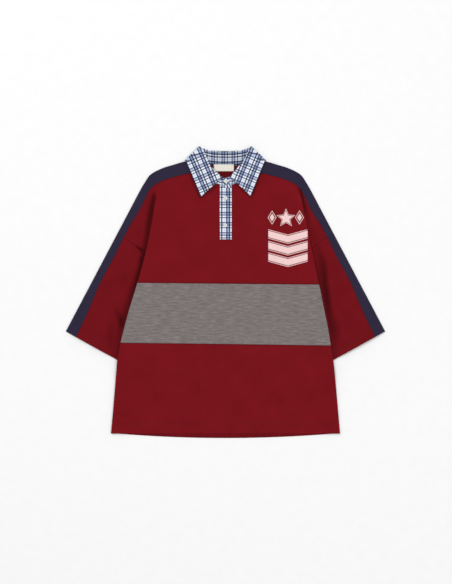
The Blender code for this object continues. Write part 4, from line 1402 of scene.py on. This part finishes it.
def build_stitching(looks, made):
    red, navy, white = looks["red_thread"], looks["navy_thread"], looks["white_thread"]
    rows = [[(end * HEM_ROW_END, HEM_Y + HEM_DEPTH - d) for end in (-1, 1)] for d in (0.0, HEM_ROWS_APART)]
    out = [stitches("hem_stitches", rows, top_of([made["lower"]]), red, "red_jersey")]
    for side, arm in ((-1, "right"), (1, "left")):
        paths, strips = [], []
        for back in (SLEEVE_HEM, SLEEVE_HEM - HEM_ROWS_APART):
            way = -ALONG_SLEEVE * back
            under = UNDERARM_HEM + way + SLEEVE_ROW_START
            seam, rim = (np.array(spot(STRIPE[-1], name)) + way for name in ("front", "edge"))
            cross = (rim - seam) / np.linalg.norm(rim - seam)
            ends = (under, seam - cross * ROW_TO_SEAM, seam + cross * ROW_TO_SEAM, rim - cross * ROW_TO_EDGE)
            ends = [(side * x, y) for x, y in ends]
            paths.append(ends[:2])
            strips.append(ends[2:])
        sleeve, stripe = top_of([made["sleeve_" + arm]]), top_of([made["stripe_" + arm]])
        out.append(stitches(f"sleeve_hem_stitches_{arm}", paths, sleeve, red, "red_jersey"))
        out.append(stitches(f"stripe_hem_stitches_{arm}", strips, stripe, navy, "navy_jersey"))
    left, right = PLACKET_LEFT + PLACKET_STITCH, PLACKET_RIGHT - PLACKET_STITCH
    bottom = PLACKET_BOTTOM + PLACKET_STITCH
    box = [[(x, PLACKET_ROW_TOP), (x, bottom)] for x in (left, right)]
    box += [[(left, y), (right, y)] for y in (bottom, bottom + PLACKET_BAR)]
    placket_rows = stitches("placket_stitches", box, top_of([made["placket"]]), white, "plaid_cotton",
                            COTTON_STITCH)
    leaf_rows = []
    for side, first in ((-1, LEAF_RIGHT[0]), (1, LEAF_LEFT[0])):
        tip = Vector(spot(first, "edge"))
        front_way = (Vector(spot(first, "roll")) - tip).normalized()
        outer_way = (LEAF_SIDE - tip).normalized()
        half_angle = front_way.angle(outer_way) / 2
        corner = tip + (front_way + outer_way).normalized() * LEAF_STITCH / sin(half_angle)
        a, b = corner + front_way * LEAF_FRONT_ROW, corner + outer_way * LEAF_OUTER_ROW
        leaf_rows.append([(side * p.x, p.y) for p in (a, corner, b)])
    leaf = stitches("leaf_stitches", leaf_rows, top_of([made["collar"]]), white, "plaid_cotton",
                    COTTON_STITCH)
    half_x, half_y = LABEL_SIZE[0] / 2 - LABEL_STITCH, LABEL_SIZE[1] / 2 - LABEL_STITCH
    cx, cy = LABEL_MIDDLE
    ends = [[(cx + end * half_x, cy - half_y), (cx + end * half_x, cy + half_y)] for end in (-1, 1)]
    tacks = stitches("label_stitches", ends, top_of([made["label"]]), white, "cream_tape", TAPE_STITCH)
    return out, placket_rows, leaf, tacks


PRINT_STEP = 3.0            # the print's points are about this far apart


def ring_shape(centre, outline, inner, outer):
    """A ring between two sizes of an outline given by its corners round the origin."""
    corners = np.array(outline, float)
    closed = np.concatenate((corners, corners[:1]))
    points = np.concatenate([mix(a, b, np.linspace(0, 1, 6)[:-1, None]) for a, b in zip(closed, closed[1:])])
    steps = max(int(round((outer - inner) * np.abs(corners).max() / PRINT_STEP)), 1)
    verts = []
    for i in range(steps + 1):
        size = mix(inner, outer, i / steps)
        verts += [(centre[0] + x * size, centre[1] + y * size) for x, y in points]
    return verts, quads(steps + 1, len(points), wrap=True)


def chevron(middle, width, drop, low, high):
    """A bent band. low and high are its lower and upper edges above its middle line."""
    verts = []
    count, steps = 28, max(int(round((high - low) / PRINT_STEP)), 1)
    for i in range(steps + 1):
        for k in range(count + 1):
            t = 2 * k / count - 1
            y = middle[1] - drop * (1 - abs(t)) + mix(low, high, i / steps)
            verts.append((middle[0] + t * width / 2, y))
    return verts, quads(steps + 1, count + 1)


STAR_INNER = 0.46           # its inner corners, where the outer ones are at 1
STAR = [(sin(2 * pi * k / 10) * far, cos(2 * pi * k / 10) * far)
        for k in range(10) for far in ((1.0, STAR_INNER)[k % 2],)]
LOZENGE = [(0, 1.0), (0.62, 0), (0, -1.0), (-0.62, 0)]
DOT = 0.02                  # where a full shape starts, so that its middle is closed
STAR_MIDDLE = (157.0, 192.0)
STAR_RINGS = ((DOT, 19.5), (22.5, 25.5))
LOZENGE_MIDDLES = ((121.0, 194.0), (192.0, 194.0))
LOZENGE_RINGS = ((15.5, 18.5), (DOT, 10.5))
CHEVRON_MIDDLES = ((162.0, 151.5), (162.0, 121.5), (162.0, 91.5))
CHEVRON_WIDTH = 102.0
CHEVRON_DROP = 14.0
CHEVRON_BANDS = ((-8.6, 8.6), (10.3, 12.0), (-12.0, -10.3))
PRINT_THICK = 0.16


def build_print(looks, made):
    """A plain printed badge on the chest: a star between lozenges, and chevrons under it."""
    height = top_of([made["upper"]])
    parts = [ring_shape(STAR_MIDDLE, STAR, *ring) for ring in STAR_RINGS]
    parts += [ring_shape(middle, LOZENGE, *ring) for middle in LOZENGE_MIDDLES for ring in LOZENGE_RINGS]
    parts += [chevron(middle, CHEVRON_WIDTH, CHEVRON_DROP, *band)
              for middle in CHEVRON_MIDDLES for band in CHEVRON_BANDS]
    verts, faces = joined(parts)
    lifted = [(x, y, height(x, y) + PRINT_THICK) for x, y in verts]
    print_piece = piece("chest_print", lifted, faces, looks["print"], "cream_tape")
    bm = bmesh.new()
    bm.from_mesh(print_piece.data)
    bmesh.ops.recalc_face_normals(bm, faces=bm.faces)
    if sum(face.normal.z for face in bm.faces) < 0:
        bmesh.ops.reverse_faces(bm, faces=bm.faces)
    bm.to_mesh(print_piece.data)
    bm.free()
    return walled(print_piece, PRINT_THICK)


# ---------------------------------------------------------------- the cut of each piece of cloth, in metres

# Each is the rectangle round the flattened sheet, and the sheet's own area.
Cut = namedtuple("Cut", "width length area lies_on")
CUTS = {
    "back": Cut(0.595, 0.710, 0.342, ("floor",)),
    "upper": Cut(0.614, 0.326, 0.152, ("back_cloth",)),
    "band": Cut(0.620, 0.195, 0.0985, ("back_cloth",)),
    "lower": Cut(0.611, 0.247, 0.1390, ("back_cloth",)),
    "shoulder_right": Cut(0.074, 0.334, 0.0176, ("floor",)),
    "shoulder_left": Cut(0.074, 0.334, 0.0176, ("floor",)),
    "stripe_right": Cut(0.066, 0.292, 0.0181, ("floor",)),
    "stripe_left": Cut(0.066, 0.292, 0.0181, ("floor",)),
    "sleeve_right": Cut(0.342, 0.317, 0.0808, ("floor",)),
    "sleeve_left": Cut(0.342, 0.317, 0.0808, ("floor",)),
    "collar": Cut(0.134, 0.401, 0.0233, ("collar_stand_cloth",)),
    "stand": Cut(0.061, 0.384, 0.0116, ("back_cloth", "front_upper_cloth")),
    "placket": Cut(0.032, 0.1404, None, ("front_upper_cloth",)),
    "label": Cut(0.052, 0.018, None, ("back_cloth",)),
}


def declare(made, on_it):
    for name, cut in CUTS.items():
        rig.sheet(made[name], flat=(cut.width, cut.length), held="laid", rests_on=cut.lies_on, area=cut.area,
                 with_pieces=on_it.get(name, []))


# ---------------------------------------------------------------- materials

def nodes_of(name, roughness, sheen=0.0, specular=0.3):
    made = bpy.data.materials.new(name)
    made.use_nodes = True
    shader = made.node_tree.nodes["Principled BSDF"]
    shader.inputs["Roughness"].default_value = roughness
    shader.inputs["Specular IOR Level"].default_value = specular
    shader.inputs["Sheen Weight"].default_value = sheen
    shader.inputs["Sheen Roughness"].default_value = 0.4
    return made, made.node_tree, shader


def math_node(tree, operation, a, b=None):
    node = tree.nodes.new("ShaderNodeMath")
    node.operation = operation
    for socket, value in zip(node.inputs, (a, b)):
        if value is None:
            continue
        if isinstance(value, (int, float)):
            socket.default_value = value
        else:
            tree.links.new(value, socket)
    return node.outputs[0]


def mix_colours(tree, blend, factor, a, b):
    node = tree.nodes.new("ShaderNodeMix")
    node.data_type = "RGBA"
    node.blend_type = blend
    for index, value in ((0, factor), (6, a), (7, b)):
        if isinstance(value, (int, float)):
            node.inputs[index].default_value = value
        elif isinstance(value, tuple):
            node.inputs[index].default_value = (*value, 1.0)
        else:
            tree.links.new(value, node.inputs[index])
    return node.outputs[2]


def grain_coordinates(tree, scale):
    """The cloth's own coordinates, stretched."""
    uv = tree.nodes.new("ShaderNodeUVMap")
    uv.uv_map = "cloth"
    mapping = tree.nodes.new("ShaderNodeMapping")
    mapping.inputs["Scale"].default_value = scale
    tree.links.new(uv.outputs[0], mapping.inputs[0])
    return mapping.outputs[0]


def noise(tree, vector, scale, detail=2.0, roughness=0.5):
    node = tree.nodes.new("ShaderNodeTexNoise")
    node.inputs["Scale"].default_value = scale
    node.inputs["Detail"].default_value = detail
    node.inputs["Roughness"].default_value = roughness
    tree.links.new(vector, node.inputs["Vector"])
    return node.outputs[0]


def ramp(tree, value, stops):
    node = tree.nodes.new("ShaderNodeValToRGB")
    node.color_ramp.interpolation = "LINEAR"
    elements = node.color_ramp.elements
    while len(elements) < len(stops):
        elements.new(0.5)
    for element, (place, colour) in zip(elements, stops):
        element.position = place
        element.color = (*colour, 1.0)
    tree.links.new(value, node.inputs[0])
    return node.outputs[0]


def split(tree, vector):
    parts = tree.nodes.new("ShaderNodeSeparateXYZ")
    tree.links.new(vector, parts.inputs[0])
    return parts.outputs


def valley_tone(tree):
    """The shade that is painted on the cloth."""
    node = tree.nodes.new("ShaderNodeAttribute")
    node.attribute_name = "valley"
    return node.outputs["Fac"]


def mottled(tree, amount, colour, value, low, high):
    """The colour, times low where the value is low and high where it's high."""
    return mix_colours(tree, "MULTIPLY", amount, colour, ramp(tree, value, [(0.3, low), (0.7, high)]))


def grey(level):
    return (level, level, level)


def bump(tree, shader, height, distance, strength):
    node = tree.nodes.new("ShaderNodeBump")
    node.inputs["Distance"].default_value = distance
    node.inputs["Strength"].default_value = strength
    tree.links.new(height, node.inputs["Height"])
    tree.links.new(node.outputs[0], shader.inputs["Normal"])


KNIT = 1.3                  # width of a knitted column, in millimetres


def knit_height(tree):
    """Knitted columns of slanted loops."""
    uv = grain_coordinates(tree, (UV_SIZE / KNIT, UV_SIZE / KNIT, 1.0))
    u, v = split(tree, uv)[:2]
    across = math_node(tree, "PINGPONG", u, 0.5)
    slant = math_node(tree, "ADD", math_node(tree, "MULTIPLY", across, 1.2), v)
    loops = math_node(tree, "PINGPONG", slant, 0.5)
    return math_node(tree, "ADD", math_node(tree, "MULTIPLY", across, 0.8), loops)


WEAVE = 0.9                 # width of a woven thread and its gap
TAPE_RIB = 0.8
TAPE_PICK = 0.45


def woven_height(tree, across, along_it):
    """Threads over and under each other, this wide in millimetres."""
    cells = split(tree, grain_coordinates(tree, (UV_SIZE / across, UV_SIZE / along_it, 1.0)))
    return math_node(tree, "ADD", math_node(tree, "PINGPONG", cells[0], 0.5),
                     math_node(tree, "PINGPONG", cells[1], 0.5))


def jersey(name, colour, painted_shade, worn):
    made, tree, shader = nodes_of(name, 0.95, sheen=0.02, specular=0.05)
    place = grain_coordinates(tree, (1.0, 1.0, 1.0))
    cloudy = noise(tree, place, 1.7, 3.0)
    fuzzy = noise(tree, place, 60.0, 3.0, 0.65)
    tone = ramp(tree, cloudy, [(0.3, tuple(c * 0.93 for c in colour)), (0.7, worn)])
    flecked = mottled(tree, 0.35, tone, fuzzy, grey(0.72), grey(1.22))
    # Painted shade: the valley attribute mixes the cloth's colour toward its shade colour, up to 0.85 of the way.
    depth = math_node(tree, "MULTIPLY", valley_tone(tree), 0.85)
    final = mix_colours(tree, "MIX", depth, flecked, painted_shade)
    tree.links.new(final, shader.inputs["Base Color"])
    height = math_node(tree, "ADD", knit_height(tree), math_node(tree, "MULTIPLY", fuzzy, 1.4))
    bump(tree, shader, height, 0.00035, 0.5)
    return made


def marl(name):
    made, tree, shader = nodes_of(name, 0.95, sheen=0.02, specular=0.05)
    streaks = noise(tree, grain_coordinates(tree, (1.0, 6.5, 1.0)), 4.2, 5.0, 0.66)
    flecks = noise(tree, grain_coordinates(tree, (1.0, 4.5, 1.0)), 26.0, 3.0, 0.6)
    cloudy = noise(tree, grain_coordinates(tree, (1.0, 1.0, 1.0)), 2.0, 2.0)
    base = ramp(tree, streaks, [(0.34, (0.143, 0.124, 0.122)), (0.5, (0.184, 0.159, 0.156)),
                                (0.66, (0.236, 0.205, 0.201))])
    soft = mottled(tree, 0.5, base, flecks, grey(0.70), grey(1.28))
    final = mottled(tree, 0.3, soft, cloudy, grey(0.9), grey(1.1))
    tree.links.new(final, shader.inputs["Base Color"])
    bump(tree, shader, math_node(tree, "ADD", knit_height(tree), flecks), 0.00035, 0.5)
    return made


WHITE = (0.80, 0.83, 0.905)
CLEAR = (1.0, 1.0, 1.0)
FAINT = (0.72, 0.78, 0.88)
BLUE = (0.42, 0.49, 0.655)
NAVY = (0.052, 0.068, 0.118)
CROSS_BLUE = (0.60, 0.66, 0.79)
CROSS_NAVY = (0.125, 0.145, 0.22)


def plaid_stops(line_colour, band_colour, width):
    """One repeat: two dark lines with a blue band between them, then a single line in the white."""
    half = width / 2
    return [(0.0, line_colour), (half, line_colour), (half + 0.02, band_colour), (0.25 - half, band_colour),
            (0.27 - half, line_colour), (0.27 + half, line_colour),
            (0.29 + half, CLEAR), (0.51 - half, CLEAR),
            (0.53 - half, line_colour), (0.53 + half, line_colour), (0.55 + half, CLEAR), (0.72, CLEAR),
            (0.75, FAINT), (0.79, FAINT), (0.82, CLEAR), (0.98 - half, CLEAR), (1.0 - half, line_colour)]


def plaid(name):
    made, tree, shader = nodes_of(name, 0.85, sheen=0.05, specular=0.2)
    uv = grain_coordinates(tree, (UV_SIZE / PLAID, UV_SIZE / PLAID_CROSS, 1.0))
    wobble = tree.nodes.new("ShaderNodeTexNoise")
    wobble.inputs["Scale"].default_value = 1.4
    tree.links.new(uv, wobble.inputs["Vector"])
    shades = []
    for out, kind in zip(split(tree, uv)[:2], ((NAVY, BLUE, 0.095), (CROSS_NAVY, CROSS_BLUE, 0.08))):
        shifted = math_node(tree, "ADD", out, math_node(tree, "MULTIPLY", wobble.outputs[0], 0.04))
        wrapped = math_node(tree, "FRACT", math_node(tree, "ADD", shifted, -0.02))
        shades.append(ramp(tree, wrapped, plaid_stops(*kind)))
    woven = mix_colours(tree, "MULTIPLY", 1.0, shades[0], shades[1])
    weave = woven_height(tree, WEAVE, WEAVE)
    coloured = mix_colours(tree, "MULTIPLY", 1.0, woven, WHITE)
    worn = mottled(tree, 0.25, coloured, noise(tree, uv, 16.0, 3.0), grey(0.8), grey(1.12))
    # Painted shade: the valley attribute darkens the plaid toward this grey blue, most inside the stand.
    final = mix_colours(tree, "MULTIPLY", valley_tone(tree), worn, (0.40, 0.42, 0.47))
    tree.links.new(final, shader.inputs["Base Color"])
    bump(tree, shader, weave, 0.0002, 0.5)
    return made


def tape(name):
    made, tree, shader = nodes_of(name, 0.6, sheen=0.1, specular=0.3)
    ribs = woven_height(tree, TAPE_RIB, TAPE_PICK)
    speckle = noise(tree, grain_coordinates(tree, (1, 1, 1)), 30.0)
    tone = ramp(tree, speckle, [(0.3, (0.64, 0.61, 0.52)), (0.7, (0.76, 0.74, 0.66))])
    tree.links.new(tone, shader.inputs["Base Color"])
    bump(tree, shader, ribs, 0.00015, 0.5)
    return made


def thread(name, colour):
    """Twisted thread."""
    made, tree, shader = nodes_of(name, 0.6, sheen=0.05, specular=0.25)
    place = tree.nodes.new("ShaderNodeTexCoord")
    twist = tree.nodes.new("ShaderNodeTexWave")
    twist.inputs["Scale"].default_value = 900.0
    twist.bands_direction = "DIAGONAL"
    tree.links.new(place.outputs["Object"], twist.inputs["Vector"])
    tone = ramp(tree, twist.outputs["Color"], [(0.2, tuple(c * 0.8 for c in colour)), (0.8, colour)])
    tree.links.new(tone, shader.inputs["Base Color"])
    bump(tree, shader, twist.outputs["Color"], 0.00008, 0.5)
    return made


def pearl(name):
    """Milky shell with faint clouds."""
    made, tree, shader = nodes_of(name, 0.22, specular=0.5)
    place = tree.nodes.new("ShaderNodeTexCoord")
    cloudy = noise(tree, place.outputs["Object"], 260.0, 3.0, 0.6)
    tone = ramp(tree, cloudy, [(0.3, (0.62, 0.64, 0.66)), (0.55, (0.74, 0.76, 0.76)),
                               (0.75, (0.83, 0.82, 0.80))])
    tree.links.new(tone, shader.inputs["Base Color"])
    shader.inputs["Coat Weight"].default_value = 0.4
    bump(tree, shader, cloudy, 0.00005, 0.2)
    return made


def print_look(name):
    """A thin printed layer, worn a little by the knit under it."""
    made, tree, shader = nodes_of(name, 0.75, specular=0.15)
    place = tree.nodes.new("ShaderNodeTexCoord")
    worn = noise(tree, place.outputs["Object"], 420.0, 4.0, 0.7)
    soft = noise(tree, place.outputs["Object"], 30.0, 2.0)
    tone = ramp(tree, worn, [(0.28, (0.60, 0.36, 0.36)), (0.42, (0.80, 0.565, 0.555)),
                             (0.8, (0.85, 0.61, 0.60))])
    final = mottled(tree, 0.25, tone, soft, (0.9, 0.88, 0.88), grey(1.05))
    tree.links.new(final, shader.inputs["Base Color"])
    bump(tree, shader, worn, 0.00006, 0.4)
    return made


def floor_look():
    made, tree, shader = nodes_of("studio_floor", 0.95, specular=0.05)
    place = tree.nodes.new("ShaderNodeTexCoord")
    grainy = noise(tree, place.outputs["Object"], 40.0, 2.0)
    tone = ramp(tree, grainy, [(0.3, grey(0.855)), (0.7, grey(0.87))])
    tree.links.new(tone, shader.inputs["Base Color"])
    return made


# ---------------------------------------------------------------- floor, light and camera

VIEW_MIDDLE = (1.3, 0.65)
PICTURE_ROWS = 584
PIXEL = 2.6                 # millimetres of the shirt in one of the picture's rows
DISTANCE = 3600.0
SENSOR = 36.0
FLOOR_HALF = 4.0            # in metres, as all the stage's sizes below
FLOOR_DROP = 0.0002         # so that the cloth and the floor don't share a plane
WORLD_LIGHT = 0.60
LAMP_SIZE = 2.4
Lamp = namedtuple("Lamp", "name place power")
LAMPS = table(Lamp,
    ("key", (-2.0, 2.5, 5.6), 168.0),
    ("fill", (3.0, -0.8, 5.4), 86.0),
)


def build_stage():
    mesh = bpy.data.meshes.new("floor")
    corners = [(x * FLOOR_HALF, y * FLOOR_HALF, 0) for x, y in ((-1, -1), (1, -1), (1, 1), (-1, 1))]
    mesh.from_pydata(corners, [], [(0, 1, 2, 3)])
    mesh.materials.append(floor_look())
    floor = placed("floor", mesh)
    floor.location.z = -FLOOR_DROP
    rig.stage(floor)
    world = bpy.data.worlds.new("studio")
    world.use_nodes = True
    world.node_tree.nodes["Background"].inputs[0].default_value = (1.0, 1.0, 1.0, 1.0)
    world.node_tree.nodes["Background"].inputs[1].default_value = WORLD_LIGHT
    bpy.context.scene.world = world
    for name, place, power in LAMPS:
        light = bpy.data.lights.new(name, "AREA")
        light.shape = "SQUARE"
        light.size = LAMP_SIZE
        light.energy = power
        lamp = placed(name, light)
        lamp.location = place
        lamp.rotation_euler = (-Vector(place)).to_track_quat("-Z", "Y").to_euler()
    camera = bpy.data.cameras.new("camera")
    camera.sensor_fit = "VERTICAL"
    camera.sensor_height = SENSOR
    camera.lens = SENSOR * DISTANCE / (PIXEL * PICTURE_ROWS)
    camera.clip_end = 50.0
    eye = placed("camera", camera)
    eye.location = (VIEW_MIDDLE[0] * MM, VIEW_MIDDLE[1] * MM, DISTANCE * MM)
    bpy.context.scene.camera = eye
    bpy.context.scene.view_settings.view_transform = "Standard"
    bpy.context.scene.view_settings.look = "None"


# ---------------------------------------------------------------- putting it together

# For each jersey: its colour, the colour of its painted shade, and a lighter tone for its random clouds.
LOOKS = {
    "red": jersey("red_jersey", (0.170, 0.0056, 0.0097), (0.030, 0.0020, 0.0030), (0.182, 0.0063, 0.0107)),
    "navy": jersey("navy_jersey", (0.026, 0.0205, 0.044), (0.008, 0.007, 0.014), (0.029, 0.0225, 0.047)),
    "marl": marl("grey_marl"),
    "plaid": plaid("plaid_cotton"),
    "tape": tape("cream_tape"),
    "pearl": pearl("pearl"),
    "print": print_look("badge_print"),
    "red_thread": thread("red_thread", (0.125, 0.006, 0.010)),
    "navy_thread": thread("navy_thread", (0.022, 0.018, 0.038)),
    "white_thread": thread("white_thread", (0.70, 0.73, 0.80)),
}

made = dict(zip(("upper", "band", "lower"), build_front(LOOKS)))
made["back"] = build_back(LOOKS)
made.update(build_arms(LOOKS))
made["collar"], made["stand"] = build_collar(LOOKS)
made["placket"] = build_placket(LOOKS)
made["label"] = build_label(LOOKS)
build_buttons(LOOKS, top_of([made["placket"], made["stand"]]))
buttonholes = build_buttonholes(LOOKS, top_of([made["placket"]]))
hems, placket_rows, leaf_rows, label_rows = build_stitching(LOOKS, made)
badge = build_print(LOOKS, made)
declare(made, {"upper": [badge], "lower": [hems[0]], "sleeve_right": [hems[1]], "stripe_right": [hems[2]],
               "sleeve_left": [hems[3]], "stripe_left": [hems[4]], "collar": [leaf_rows],
               "placket": [placket_rows, buttonholes], "label": [label_rows]})
build_stage()

with open("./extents.json", "w") as out:
    json.dump({"cad": CAD_BOX, "visual": as_lists(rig.bounds())}, out)
